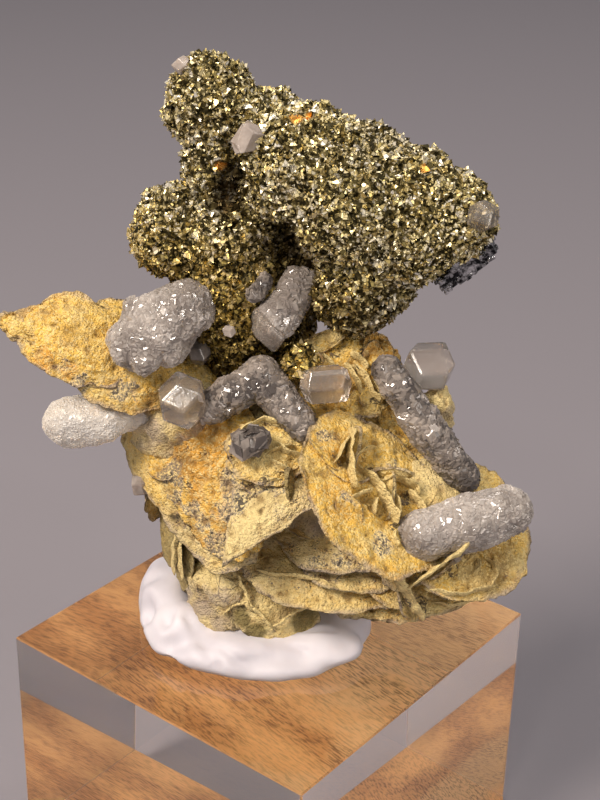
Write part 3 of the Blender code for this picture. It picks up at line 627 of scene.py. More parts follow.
# Plates, each as middle, faces, along, half length, half width, half thickness, bend, tone and ash
frontPlates = (
    ((-5.6, -4.0, 48.2), (-0.35, -0.80, 0.50), (0.5, -0.4, -0.8), 9.4, 6.0, 0.8, 0.5, 0.72, 0.08),
    ((-6.6, -3.0, 45.6), (-0.40, -0.78, 0.45), (0.5, -0.4, -0.8), 9.0, 5.9, 0.6, 0.3, 0.20, 1.05),
    ((-12.0, 0.8, 48.6), (-0.50, -0.66, 0.50), (0.62, -0.2, -0.75), 8.4, 4.4, 0.8, 0.5, 0.40, 0.20),
    ((-0.6, -8.4, 46.6), (-0.25, -0.60, 0.76), (0.81, 0.26, 0.53), 6.2, 4.4, 0.9, 0.2, 0.15, 0.45),
    ((9.3, -8.0, 47.5), (0.50, -0.45, 0.74), (0.65, -0.34, -0.68), 8.8, 7.9, 0.8, -0.6, 0.55, 0.10),
    ((-0.7, -6.0, 49.8), (0.10, -0.75, 0.65), (1.0, 0.0, 0.2), 3.8, 3.5, 0.7, 0.2, 0.55, 0.25),
    ((7.0, 0.6, 56.0), (0.05, -0.75, 0.66), (0.8, 0.3, 0.5), 5.6, 4.6, 0.8, 0.2, 0.60, 0.12),
    ((13.0, -0.8, 49.0), (0.30, -0.45, 0.84), (0.6, -0.3, -0.7), 7.2, 5.4, 0.7, 0.3, 0.62, 0.10),
    ((17.9, -5.8, 42.8), (0.30, -0.50, 0.80), (0.9, 0.3, -0.2), 8.1, 7.9, 0.8, -0.5, 0.50, 0.20),
    ((16.6, -5.2, 40.6), (0.25, -0.45, 0.85), (0.9, 0.3, -0.2), 7.4, 6.6, 0.6, 0.4, 0.35, 0.35),
    ((14.4, -5.2, 38.2), (0.20, -0.40, 0.90), (0.9, 0.3, -0.2), 6.8, 5.6, 0.5, 0.4, 0.32, 0.42),
    ((5.7, -5.0, 38.0), (0.05, -0.50, 0.86), (1.0, 0.0, -0.15), 9.6, 5.4, 0.7, 0.4, 0.30, 0.42),
    ((10.8, -4.8, 35.9), (0.10, -0.45, 0.88), (1.0, 0.0, -0.05), 7.6, 4.6, 0.6, 0.5, 0.30, 0.40),
    ((6.2, -5.0, 41.2), (-0.10, -0.40, 0.90), (1.0, -0.2, -0.3), 6.6, 4.6, 0.5, 0.0, 0.20, 0.80),
    ((7.6, -5.0, 39.4), (0.00, -0.45, 0.88), (1.0, -0.2, -0.3), 6.6, 4.6, 0.5, 0.0, 0.20, 0.80),
    ((0.6, -5.4, 32.9), (0.25, -0.85, 0.40), (1.0, 0.1, 0.2), 4.8, 3.9, 0.8, 0.3, 0.15, 0.45),
)

leftBlades = (
    ((-10.8, 0.2, 38.6), (-0.90, -0.35, 0.10), (0.15, 0.0, -1.0), 4.4, 3.8, 0.5, 0.2, 0.30, 0.50),
    ((-9.6, -0.6, 36.2), (-0.90, -0.35, 0.05), (0.25, 0.0, -1.0), 4.6, 3.8, 0.5, 0.2, 0.30, 0.60),
    ((-8.0, -1.4, 34.4), (-0.85, -0.45, 0.05), (0.25, 0.0, -1.0), 4.8, 3.6, 0.5, 0.2, 0.30, 0.60),
)

wingPlates = (
    ((-18.9, -0.4, 59.8), (0.30, -0.60, 0.74), (1.0, 0.1, -0.35), 6.0, 4.9, 1.3, 0.3, 0.58, 0.14),
    ((-14.4, 0.8, 57.7), (0.36, -0.62, 0.70), (1.0, 0.2, -0.40), 6.8, 5.9, 1.5, 0.3, 0.56, 0.20),
    ((-10.2, 1.6, 55.0), (0.30, -0.66, 0.68), (1.0, 0.2, -0.35), 6.2, 4.8, 1.7, 0.3, 0.50, 0.08),
    ((-24.0, -0.8, 60.9), (0.20, -0.60, 0.76), (1.0, 0.0, -0.55), 2.8, 1.5, 0.9, 0.0, 0.45, 0.02),
)

rearPlates = (
    ((2.2, 4.0, 52.4), (0.00, -0.25, 0.97), (1.0, 0.0, 0.0), 9.0, 6.6, 1.1, 0.6, 0.55, 0.15),
    ((-6.0, 6.6, 46.6), (-0.45, 0.80, 0.30), (0.7, 0.4, 0.0), 8.0, 7.0, 0.8, 0.5, 0.60, 0.25),
    ((5.4, 7.2, 45.8), (0.20, 0.92, 0.25), (0.8, -0.1, 0.5), 8.6, 7.0, 0.8, 0.5, 0.50, 0.20),
    ((14.0, 3.8, 43.4), (0.65, 0.70, 0.25), (0.4, -0.5, 0.6), 7.0, 6.0, 0.8, 0.5, 0.45, 0.30),
    ((-0.6, 5.8, 38.6), (-0.10, 0.92, -0.30), (0.8, 0.2, 0.4), 6.6, 5.6, 0.8, 0.4, 0.40, 0.45),
    ((7.4, 5.0, 38.4), (0.40, 0.80, -0.45), (0.8, -0.2, 0.4), 6.6, 5.2, 0.8, 0.4, 0.40, 0.50),
    ((-11.4, 4.0, 43.2), (-0.90, 0.35, 0.20), (0.2, 0.2, -0.9), 6.2, 5.0, 0.7, 0.4, 0.40, 0.30),
)

thinBlades = (
    ((-0.8, -6.2, 50.9), (0.12, -0.74, 0.66), (0.95, 0.1, -0.35), 4.0, 3.1, 0.5, -0.2, 0.45, 0.35),
    ((2.4, -0.4, 57.5), (0.05, -0.75, 0.66), (0.9, 0.1, 0.4), 2.2, 1.5, 0.5, 0.0, 0.95, 0.05),
    ((4.2, 1.2, 59.3), (0.05, -0.85, 0.50), (0.85, 0.15, 0.42), 3.2, 1.0, 0.4, 0.0, 0.30, 0.10),
    ((1.5, -8.8, 49.2), (0.85, -0.45, 0.25), (-0.10, -0.30, -0.95), 1.5, 0.6, 0.2, 0.0, 0.15, 0.05),
    ((7.6, -5.6, 51.2), (0.90, 0.25, -0.35), (0.05, -0.45, -0.89), 2.4, 1.1, 0.3, 0.0, 0.25, 0.05),
    ((8.2, -7.2, 48.7), (-0.45, 0.25, 0.86), (0.85, 0.30, 0.43), 1.8, 0.9, 0.3, 0.0, 0.25, 0.05),
    ((10.9, -7.8, 47.9), (0.80, 0.30, -0.30), (0.45, -0.40, -0.80), 2.8, 1.2, 0.3, 0.0, 0.25, 0.05),
    ((11.4, -6.6, 49.3), (-0.05, -0.80, -0.55), (1.0, 0.05, 0.0), 2.0, 1.1, 0.3, 0.0, 0.25, 0.05),
    ((13.0, -10.0, 38.2), (0.90, -0.30, 0.25), (0.35, -0.10, -0.93), 3.1, 2.3, 0.35, 0.0, 0.30, 0.20),
    ((15.8, -10.6, 42.0), (0.55, 0.45, -0.70), (0.80, 0.15, 0.58), 3.5, 1.4, 0.35, 0.0, 0.30, 0.10),
)

coreLumps = (
    ((-1.5, 1.6, 45.5), (9.0, 6.4, 8.2)),
    ((7.2, 0.4, 43.0), (9.0, 6.4, 7.4)),
    ((13.6, -2.0, 43.4), (6.0, 5.2, 5.2)),
    ((-2.6, 0.4, 36.6), (6.4, 5.0, 7.4)),
    ((-4.4, -2.6, 32.8), (4.3, 3.7, 4.6)),
    ((0.2, -3.0, 31.0), (4.4, 3.2, 2.7)),
    ((16.0, 1.2, 51.8), (1.6, 1.8, 3.2)),
    ((-8.8, 2.2, 50.4), (6.0, 4.4, 4.8)),
    ((-12.2, 4.4, 54.6), (5.6, 3.8, 4.4)),
)

# Walls of thin blades that stand on the plates, each as a path, its height and its thickness
ridges = (
    (((7.1, -3.9, 52.6), (7.2, -4.9, 52.2), (7.0, -5.9, 51.6), (6.9, -7.0, 50.9), (7.0, -8.1, 50.1),
      (7.3, -8.7, 49.5), (7.8, -9.3, 49.0)), 1.4, 0.34),
    (((5.6, -8.2, 50.9), (6.2, -6.7, 51.6), (7.0, -5.0, 52.2)), 1.1, 0.30),
    (((9.7, -4.0, 50.6), (8.7, -4.9, 50.8), (7.9, -5.9, 50.7), (7.4, -7.0, 50.4),
      (7.2, -7.9, 50.0)), 0.9, 0.32),
    (((8.4, -6.9, 49.6), (9.1, -7.3, 49.2), (9.7, -7.6, 48.4), (10.1, -8.4, 47.8), (10.8, -9.1, 47.0),
      (11.5, -9.7, 46.2), (11.7, -10.2, 45.6)), 1.2, 0.36),
    (((9.7, -7.2, 48.6), (10.6, -6.7, 48.4), (11.6, -6.0, 48.2), (12.8, -5.8, 47.8), (13.6, -5.8, 47.1),
      (13.9, -6.4, 46.6)), 1.2, 0.34),
    (((7.3, -10.4, 48.6), (8.2, -9.4, 48.5), (9.5, -8.2, 48.3)), 0.7, 0.34),
    (((10.4, -7.3, 48.0), (11.0, -7.4, 47.6), (11.7, -8.2, 46.9), (12.0, -9.3, 46.0)), 0.9, 0.30),
    (((12.9, -6.3, 47.3), (13.3, -6.9, 46.7), (13.8, -7.1, 46.3), (14.2, -7.5, 45.8),
      (14.4, -7.9, 45.5)), 0.9, 0.34),
    (((9.8, -8.9, 47.8), (9.6, -9.8, 47.4), (9.5, -10.5, 47.0)), 0.7, 0.28),
    (((11.6, -10.5, 45.3), (11.4, -11.5, 45.0), (11.9, -12.0, 44.4)), 0.6, 0.28),
    (((14.5, -12.2, 40.0), (16.9, -12.7, 39.6), (18.8, -11.9, 39.4), (20.8, -11.0, 39.4),
      (21.7, -9.6, 39.9),
      (21.4, -8.6, 40.6), (20.4, -8.4, 41.0)), 0.7, 0.40),
    (((19.6, -8.9, 41.3), (19.8, -9.6, 40.8), (19.3, -10.6, 40.3)), 0.7, 0.34),
    (((15.9, -9.8, 36.6), (17.6, -10.2, 36.8), (19.6, -9.8, 37.0), (21.2, -8.6, 37.6)), 0.6, 0.40),
    (((7.2, 0.6, 57.2), (8.3, -0.2, 56.4), (9.1, -0.8, 55.4), (10.0, -1.4, 54.0)), 0.9, 0.26),
    (((9.2, 0.0, 56.0), (9.9, -0.6, 55.0), (10.2, -1.2, 54.0)), 0.8, 0.24),
    (((7.1, 1.3, 58.3), (8.1, 0.9, 57.4), (8.8, 0.5, 56.8)), 0.7, 0.26),
    (((4.2, 1.1, 58.0), (5.2, 0.6, 57.2), (5.6, 0.2, 56.4)), 0.8, 0.26),
    (((6.6, 0.4, 57.6), (7.6, -0.6, 56.4), (8.2, -1.3, 55.0)), 0.6, 0.24),
    (((0.4, -6.4, 50.2), (1.4, -6.8, 49.2), (1.8, -7.2, 48.4)), 0.9, 0.28),
    (((-3.6, -5.6, 52.6), (-2.6, -5.0, 53.4), (-1.2, -4.6, 53.7), (0.2, -4.8, 53.4)), 0.6, 0.40),
    (((0.2, -5.8, 51.9), (0.9, -6.4, 51.3), (1.8, -6.4, 51.0), (2.5, -6.6, 50.4)), 0.8, 0.30),
    (((-0.4, -7.0, 50.5), (0.6, -7.2, 50.2), (1.4, -7.4, 49.8)), 0.6, 0.30),
    (((-0.6, -6.6, 51.2), (0.6, -6.0, 51.4), (1.8, -5.4, 51.2)), 0.8, 0.28),
    (((-1.4, -8.0, 48.8), (-0.4, -8.0, 49.0), (0.8, -7.6, 48.8)), 0.5, 0.30),
    (((-9.8, -3.0, 40.6), (-10.2, -3.2, 38.6), (-10.3, -3.2, 36.6), (-10.0, -3.0, 34.8)), 0.8, 0.20),
    (((-9.2, -3.4, 40.4), (-9.5, -3.6, 38.4), (-9.6, -3.6, 36.4), (-9.3, -3.4, 34.4)), 0.8, 0.20),
    (((18.6, -10.9, 44.3), (17.1, -11.4, 43.1), (15.6, -11.9, 42.1), (14.1, -12.5, 41.1),
      (12.7, -12.8, 40.0)), 1.3, 0.60),
    (((11.4, -13.4, 42.5), (12.2, -12.6, 40.5), (12.9, -12.0, 38.8), (13.8, -11.6, 37.0),
      (14.8, -11.2, 35.6)), 1.1, 0.55),
    (((-3.4, -6.2, 37.2), (-3.0, -6.4, 35.9), (-2.6, -6.6, 34.6), (-1.9, -6.9, 33.7),
      (-1.1, -7.1, 32.9),
      (0.0, -7.2, 31.7)), 0.35, 0.40),
    (((0.0, -7.2, 31.7), (0.8, -7.0, 32.2), (1.5, -6.8, 32.6), (2.4, -6.4, 33.0), (3.2, -6.0, 33.2),
      (3.9, -5.6, 33.9)), 0.35, 0.40),
    (((-5.0, -6.3, 32.4), (-4.0, -6.5, 33.4), (-2.7, -6.8, 34.2), (-2.0, -6.9, 33.2)), 0.5, 0.32),
    (((-1.8, -6.2, 37.7), (0.6, -7.2, 37.8), (3.2, -7.6, 38.0), (6.0, -8.4, 37.6)), 0.4, 0.36),
)

# Hollows between the walls: start, end, width and depth
roseHollows = (
    ((9.0, -6.2, 49.8), (9.4, -6.6, 49.4), 1.0, 0.7),
    ((6.2, -7.2, 51.0), (6.3, -8.0, 50.4), 0.7, 0.5),
    ((10.0, -9.4, 47.1), (10.8, -10.0, 46.2), 0.8, 0.8),
    ((12.0, -6.8, 47.4), (12.8, -7.6, 46.4), 0.8, 0.8),
    ((8.3, -5.4, 51.3), (8.5, -5.8, 50.9), 0.7, 0.5),
    ((8.2, -8.6, 48.9), (8.6, -9.4, 48.2), 0.8, 0.5),
)

wingHollows = (
    ((-24.8, -0.2, 62.3), (-23.3, -2.4, 60.2), 0.35, 0.4),
    ((-21.6, 1.4, 63.0), (-21.0, 0.4, 62.2), 0.5, 0.4),
    ((-17.2, -0.4, 60.6), (-16.2, -0.2, 60.8), 0.6, 0.5),
    ((-17.0, -3.4, 57.4), (-15.6, -3.4, 56.4), 0.5, 0.4),
    ((-19.0, -2.0, 59.2), (-18.2, -2.2, 58.6), 0.4, 0.3),
)

ridgeLook = {
    "step": 0.16,                   # length of one stretch of a wall, mm
    "stands": (0.30, -0.62, 0.72),
    "lean": (0.25, 0.0, 0.1),       # how far a wall may lean from that
    "wander": (0.22, 0.9),
    "tall": 1.35,
    "crest": (0.30, 1.3),           # how uneven its top is, and over what wave
    "crestShift": (3.0, 0.0, 0.0),
    "narrow": 0.35,                 # how much thinner it is at the top
    "sunk": 0.30,
    "rough": 2.5,
    "tone": -0.05,
    "ash": 0.05,
}

leafletLook = {
    "seed": 17,
    "counts": (0, 3, 3, 0, 4, 3, 12, 6, 5, 2, 2, 4, 3, 3, 3, 0),   # for each front plate
    "rearCount": 3,
    "reach": (0.35, 0.85),
    "half": (0.7, 1.8),
    "tilt": (12.0, 50.0),
    "narrow": (0.45, 0.8),
    "thick": (0.13, 0.22),
    "bend": (-0.2, 0.3),
    "tone": (-0.25, 0.15),
}

sideriteMarks = ("tone", "ash", "rim", "olive", "height", "layer")


def newSideriteMesh():
    bm = bmesh.new()
    for name in sideriteMarks:
        bm.verts.layers.float.new(name)
    return bm


def mark(vert, layers, **values):
    for name, value in values.items():
        vert[layers[name]] = value


def grainyShift(point):
    # How far the crust stands out at a point: swells, lumps, granules and pits.
    look = plateLook
    tall, size = look["swells"]
    shift = tall * noise.noise(point / size)
    tall, size = look["lumps"]
    shift += tall * noise.fractal(point / size, 1.0, 2.0, 2)
    tall, size = look["granules"]
    shift += tall * (look["granuleMiddle"] - noise.voronoi(point / size)[0][0])
    deep, size, line = look["pits"]
    pit = noise.noise(point / size + Vector(look["pitShift"]))
    if pit > line:
        shift -= deep * (pit - line) / (1.0 - line)
    return shift


def outlineSwell(way, spot, corners):
    look = plateLook
    swell = 1.0
    for kind in ("wobble", "chips", "nicks"):
        amount, wave = look[kind]
        swell += amount * noise.noise(way * wave + spot)
    if corners:
        angle = math.atan2(way.y, way.x) - math.pi / 2.0
        step = 2.0 * math.pi / corners
        inside = (angle % step) - step / 2.0
        swell *= look["point"] * math.cos(step / 2.0) / math.cos(inside)
    return swell


def ballToPlate(w):
    # A height on a unit ball becomes a share of the plate's radius and a level in its thickness.
    look = plateLook
    fall = math.acos(max(-1.0, min(1.0, w))) / math.pi
    face = 0.5 * (1.0 - look["wall"])
    if fall < face:
        return look["face"] * fall / face, 1.0
    if fall > 1.0 - face:
        return look["face"] * (1.0 - fall) / face, -1.0
    level = 1.0 - 2.0 * (fall - face) / look["wall"]
    return look["face"] + (1.0 - look["face"]) * math.sqrt(max(0.0, 1.0 - level * level)), level


def addPlate(bm, plate, detail, rough=1.0, olive=0.0, steps=1.0, seams=1.0, dim=1.0, corners=0):
    # A ball pressed flat, with terraces on its faces, growth sheets round its rim and a grainy skin.
    look = plateLook
    middle, faces, along, halfLong, halfShort, thick, bend, tone, ash = plate
    layers = {name: bm.verts.layers.float[name] for name in sideriteMarks}
    spot = Vector(middle)
    turn = facing(middle, faces, along)
    spin = turn.to_3x3()
    wander, wave = look["terraceWander"]
    for vert in bmesh.ops.create_icosphere(bm, subdivisions=detail, radius=1.0)["verts"]:
        u, v, w = vert.co
        flat = math.hypot(u, v)
        way = Vector((u / flat, v / flat, 0.0)) if flat > 1e-6 else Vector((1.0, 0.0, 0.0))
        out = Vector((u / halfLong, v / halfShort, 0.0)).normalized() if flat > 1e-6 else way
        radius, level = ballToPlate(w)
        onRim = abs(level) < 1.0
        swell = outlineSwell(way * min(1.0, radius * 1.2), spot, corners)
        deep = thick * (look["rimThick"] + (1.0 - look["rimThick"]) * (1.0 - radius * radius))
        rise = level * deep
        for number, line in enumerate(look["terraces"]):
            edge = line + wander * noise.noise(way * wave + spot * (number + 1.0))
            rise -= level * look["terraceDrop"] * steps * smoothStep(edge, edge + look["terraceEdge"], radius)
        stand = 0.0
        if onRim:
            sheet = math.floor(rise / look["sheet"] + 0.5)
            stand = noise.noise(way * look["sheetWave"] + spot + Vector((0.0, 0.0, sheet * 5.3)))
        point = Vector((way.x * halfLong * radius * swell, way.y * halfShort * radius * swell,
                        rise - bend * radius * radius))
        point = turn @ (point + out * (steps * look["sheetStep"] * stand))
        shift = grainyShift(point) * rough
        vert.co = point + spin @ (out if onRim else Vector((0.0, 0.0, level))) * shift
        # the height mark keeps how far the grainy skin stands out; the material paints shade into its low
        # spots
        mark(vert, layers, tone=tone, ash=ash, olive=olive, rim=dim * smoothStep(*look["rimMark"], radius),
             height=shift / max(rough, 0.1), layer=seams * (1.0 - abs(level) ** 4) if onRim else 0.0)


def addPlates(bm, plates, large=math.inf, odd=None, **common):
    # Plates longer than a size get a finer mesh, and odd says what single ones have of their own.
    for number, plate in enumerate(plates):
        own = {"detail": 6 if plate[3] > large else 5, **common, **(odd or {}).get(number, {})}
        addPlate(bm, plate, **own)


def addLeaflets(bm, plate, count, pick):
    # Small thin blades that stand out of a plate, set at random within a ring of its face.
    look = leafletLook
    middle, faces, along, halfLong, halfShort, thick, bend, tone, ash = plate
    turn = facing(middle, faces, along)
    spin = turn.to_3x3()
    for _ in range(count):
        angle = pick.uniform(0.0, 2.0 * math.pi)
        share = pick.uniform(*look["reach"])
        spot = turn @ Vector((math.cos(angle) * halfLong * share, math.sin(angle) * halfShort * share,
                              thick * (1.0 - 0.45 * share * share) - bend * share * share))
        axis = spin @ Vector((math.cos(angle * 2.7), math.sin(angle * 2.7), 0.0))
        lean = Matrix.Rotation(math.radians(pick.uniform(*look["tilt"])), 3, axis)
        up = lean @ Vector(faces).normalized()
        half = pick.uniform(*look["half"])
        blade = (spot, up, axis, half, half * pick.uniform(*look["narrow"]), pick.uniform(*look["thick"]),
                 pick.uniform(*look["bend"]), tone + pick.uniform(*look["tone"]), ash * 0.5)
        addPlate(bm, blade, 4, rough=0.45, steps=0.4)


def addRidge(bm, points, height, thick):
    # A wall along a path: a flat oval tube laid along it, tapered at both ends and half sunk in.
    look = ridgeLook
    layers = {name: bm.verts.layers.float[name] for name in sideriteMarks}
    path = [Vector(point) for point in points]
    lengths = [0.0]
    for one, other in zip(path, path[1:]):
        lengths.append(lengths[-1] + (other - one).length)
    count = max(6, int(lengths[-1] / look["step"]))
    up = (Vector(look["stands"]) + Vector(look["lean"]) * noise.noise(path[0])).normalized()
    first = len(bm.verts)
    tube = bmesh.ops.create_cone(bm, cap_ends=True, segments=10, radius1=1.0, radius2=1.0, depth=2.0)
    edges = dict.fromkeys(edge for vert in tube["verts"] for edge in vert.link_edges)
    lengthwise = [edge for edge in edges if abs(edge.verts[0].co.z - edge.verts[1].co.z) > 1.0]
    bmesh.ops.subdivide_edges(bm, edges=lengthwise, cuts=count - 1)
    bm.verts.ensure_lookup_table()
    wander, wanderWave = look["wander"]
    crest, crestWave = look["crest"]
    for vert in bm.verts[first:]:
        wide, high, share = vert.co
        run = lengths[-1] * 0.5 * (share + 1.0)
        leg = max(index for index in range(len(path) - 1) if lengths[index] <= run + 1e-6)
        spot = path[leg].lerp(path[leg + 1], (run - lengths[leg]) / (lengths[leg + 1] - lengths[leg]))
        along = (path[leg + 1] - path[leg]).normalized()
        side = along.cross(up).normalized()
        spot = spot + side * wander * noise.noise(spot * wanderWave)
        taper = math.sqrt(max(0.02, 1.0 - share ** 6))
        uneven = 1.0 + crest * noise.noise(spot * crestWave + Vector(look["crestShift"]))
        tall = look["tall"] * height * taper * uneven
        out = side * wide * thick * 0.5 * taper * (1.0 - look["narrow"] * high)
        point = spot + out + up * tall * (look["sunk"] + (1.0 - look["sunk"]) * high)
        vert.co = point + (out + up * high * 0.1) * grainyShift(point) * look["rough"]
        # height runs from the wall's foot to its top, so the foot takes painted shade
        mark(vert, layers, tone=look["tone"], ash=look["ash"], height=0.3 * high)


def finishSiderite(name, bm):
    makePiece(name, bm, sideriteFinish, "siderite_rosette", True)


def makeFrontPlates():
    bm = newSideriteMesh()
    odd = {0: {"dim": 0.1}, 3: {"rough": 0.6, "corners": 3}, 6: {"detail": 6, "rough": 2.0}}
    addPlates(bm, frontPlates[:8], 6.0, odd)
    pressDents(bm, roseHollows)
    finishSiderite("sideriteFrontPlates", bm)


def makeLowerPlates():
    bm = newSideriteMesh()
    addPlates(bm, frontPlates[8:], 7.0)
    finishSiderite("sideriteLowerPlates", bm)


def makeLeaflets():
    pick = random.Random(leafletLook["seed"])
    bm = newSideriteMesh()
    for plate, count in zip(frontPlates, leafletLook["counts"]):
        addLeaflets(bm, plate, count, pick)
    for plate in rearPlates:
        addLeaflets(bm, plate, leafletLook["rearCount"], pick)
    for points, height, thick in ridges:
        addRidge(bm, points, height, thick)
    bmesh.ops.recalc_face_normals(bm, faces=bm.faces)
    finishSiderite("sideriteLeaflets", bm)


def makeWingAndBlades():
    bm = newSideriteMesh()
    addPlates(bm, wingPlates, 4.0, rough=0.7, steps=2.4)
    pressDents(bm, wingHollows)
    # The left blades and one thin blade take olive, partly their own tone and partly painted shade.
    addPlates(bm, leftBlades, rough=0.6, olive=0.6)
    odd = {0: {"detail": 5, "rough": 1.3}, 3: {"olive": 0.55}}
    addPlates(bm, thinBlades, odd=odd, detail=4, rough=0.5)
    finishSiderite("sideriteWingAndBlades", bm)


def makeBackAndCore():
    bm = newSideriteMesh()
    addPlates(bm, rearPlates)
    cores = [(middle, (0, 0, 1), (1, 0, 0), *half, 0.0, 0.12, 0.40) for middle, half in coreLumps]
    addPlates(bm, cores, rough=2.2, seams=0.0)
    finishSiderite("sideriteBackAndCore", bm)


makeFrontPlates()
makeLowerPlates()
makeLeaflets()
makeWingAndBlades()
makeBackAndCore()
print("siderite made")


# Sulphide: a lumpy body under thousands of tiny crystals

sulphideLook = {
    "voxel": 0.45,
    "bumps": ((0.45, 2.4), (0.30, 1.0)),
    "density": 20.0,
    "closest": 0.20,
    "sizes": (0.17, 0.60),   # smallest and largest; the large ones are rare
    "rarity": 3.5,
    "shaded": 1.0,
    "lean": (3.1, 3.1, 3.1),   # how far a crystal may turn from standing upright, radians
}
beadLook = {**sulphideLook, "voxel": 0.25, "density": 9.0, "sizes": (0.30, 0.70), "closest": 0.3,
            "shaded": 0.0}

columnLumps = (
    ((-3.4, 5.8, 62.0), (7.2, 6.8, 8.6)),
    ((-3.0, 5.8, 55.4), (5.2, 4.8, 3.6)),
    ((-9.9, 5.2, 69.0), (4.3, 4.8, 4.7)),
    ((-5.0, 6.0, 68.6), (6.2, 6.2, 5.8)),
    ((-6.0, 5.6, 76.2), (3.3, 3.9, 5.4)),
    ((-6.6, 5.2, 82.1), (4.1, 4.4, 4.4)),
)

coneLumps = (
    ((-1.6, 5.0, 79.5), (3.8, 4.2, 3.7)),
    ((2.4, 2.4, 76.5), (6.3, 5.8, 6.0)),
    ((7.0, 1.2, 74.0), (6.8, 6.6, 6.9)),
    ((11.8, 0.8, 72.5), (6.1, 5.9, 6.4)),
    ((16.0, 0.2, 72.9), (4.0, 4.4, 4.1)),
    ((7.6, 2.2, 67.0), (5.6, 5.6, 5.8)),
    ((7.2, 3.8, 63.4), (4.4, 4.2, 3.6)),
    ((2.4, 7.4, 68.0), (6.0, 4.8, 8.4)),
)

beadLumps = (((2.2, -1.2, 58.2), (1.6, 1.4, 1.7)),)

sulphideHollows = (   # start, end, width and depth
    ((-4.6, 0.5, 75.4), (-5.1, 0.5, 73.4), 1.6, 2.2),
    ((1.8, 0.5, 71.0), (2.0, 1.0, 66.6), 2.0, 2.6),
)

sulphideTones = {   # heights and places in mm between which a tone comes in
    "goldenHigh": (74.0, 62.0),
    "goldenWide": (12.0, -2.0),
    "low": (70.0, 60.0),
    "lowShade": 0.50,
    "hollowShade": 0.85,
    "hollowReach": (1.5, 0.6),   # as shares of the hollow's width
    "hollowDepth": 0.4,          # how much a distance front to back counts
}


def crystalShape(name, faces):
    # One tiny crystal: a low pyramid of few faces.
    bm = bmesh.new()
    bmesh.ops.create_cone(bm, cap_ends=True, segments=faces, radius1=1.0, radius2=0.0, depth=1.6)
    bmesh.ops.triangulate(bm, faces=bm.faces)
    return linked(name, bmeshToMesh(bm, name))


def scatterNodes(name, crystal, look, seed):
    # Strews crystals over a surface, turned at random, and leaves them as real mesh with a tint each.
    tree = bpy.data.node_groups.new(name, "GeometryNodeTree")
    for way in ("INPUT", "OUTPUT"):
        tree.interface.new_socket("Geometry", in_out=way, socket_type="NodeSocketGeometry")
    n = Nodes(tree)
    given = n.add("NodeGroupInput").outputs["Geometry"]
    points = n.add("GeometryNodeDistributePointsOnFaces", distribute_method="POISSON", Mesh=given,
                   Distance_Min=look["closest"], Density_Max=look["density"], Seed=seed).outputs
    shape = n.add("GeometryNodeObjectInfo", Object=crystal).outputs["Geometry"]
    lean = n.add("FunctionNodeRandomValue", data_type="FLOAT_VECTOR",
                 Min=[-angle for angle in look["lean"]], Max=look["lean"]).outputs[0]
    turn = n.add("FunctionNodeRotateRotation", rotation_space="LOCAL", Rotation=points["Rotation"],
                 Rotate_By=lean).outputs["Rotation"]
    size = n.add("FunctionNodeRandomValue", data_type="FLOAT", Seed=seed + 1).outputs[1]
    reach = n.span(n.maths("POWER", size, look["rarity"]), 0.0, 1.0, *look["sizes"])
    stand = n.add("GeometryNodeInstanceOnPoints", Points=points["Points"], Instance=shape,
                  Rotation=turn, Scale=reach).outputs["Instances"]
    shade = n.add("FunctionNodeRandomValue", data_type="FLOAT", Seed=seed + 2).outputs[1]
    store = n.add("GeometryNodeStoreNamedAttribute", data_type="FLOAT", domain="INSTANCE", Name="tint",
                  Geometry=stand, Value=shade).outputs["Geometry"]
    real = n.add("GeometryNodeRealizeInstances", Geometry=store).outputs["Geometry"]
    both = n.add("GeometryNodeJoinGeometry", Geometry=real)
    n.give(both.inputs["Geometry"], given)
    n.add("NodeGroupOutput", Geometry=both.outputs["Geometry"])
    return tree


def strewn(bm, name, crystal, look, seed):
    def addModifiers(thing):
        thing.modifiers.new("Crystals", "NODES").node_group = scatterNodes(name, crystal, look, seed)

    return throughModifiers(bm, addModifiers)


def markSulphide(bm, shaded):
    # Golden tone low on the left, partly the crust's own tone and partly painted reflection of the siderite
    # below; painted shade low down and in the hollows.
    own = sulphideTones
    golden = bm.verts.layers.float.new("golden")
    paintedShade = bm.verts.layers.float.new("paintedShade")
    far, near = own["hollowReach"]
    for vert in bm.verts:
        x, _, z = vert.co
        vert[golden] = smoothStep(*own["goldenHigh"], z) * smoothStep(*own["goldenWide"], x)
        # painted shade: darker low down, and darkest in the hollows
        deep = own["lowShade"] * smoothStep(*own["low"], z)
        for start, end, width, _ in sulphideHollows:
            away = offLine(vert.co, Vector(start), Vector(end))
            away.y *= own["hollowDepth"]
            deep = max(deep, own["hollowShade"] * smoothStep(width * far, width * near, away.length))
        vert[paintedShade] = deep * shaded


def makeSulphide(name, node, lumps, look, crystal, seed):
    bm = bmesh.new()
    addLumps(bm, lumps)
    bm = melt(bm, look["voxel"], 1)
    roughen(bm, look["bumps"])
    pressDents(bm, sulphideHollows)
    bm = strewn(bm, name + "Strew", crystal, look, seed)
    markSulphide(bm, look["shaded"])
    makePiece(name, bm, sulphideFinish, node)


crystal = crystalShape("crystal", 3)
makeSulphide("sulphideColumn", "chalcopyrite_mass", columnLumps, sulphideLook, crystal, 3)
makeSulphide("sulphideCone", "chalcopyrite_mass", coneLumps, sulphideLook, crystal, 5)
makeSulphide("sulphideBead", "chalcopyrite_bead", beadLumps, beadLook, crystal, 7)
bpy.data.objects.remove(crystal)
print("sulphide made")


# Galena: a stepped crust under the cone's tip

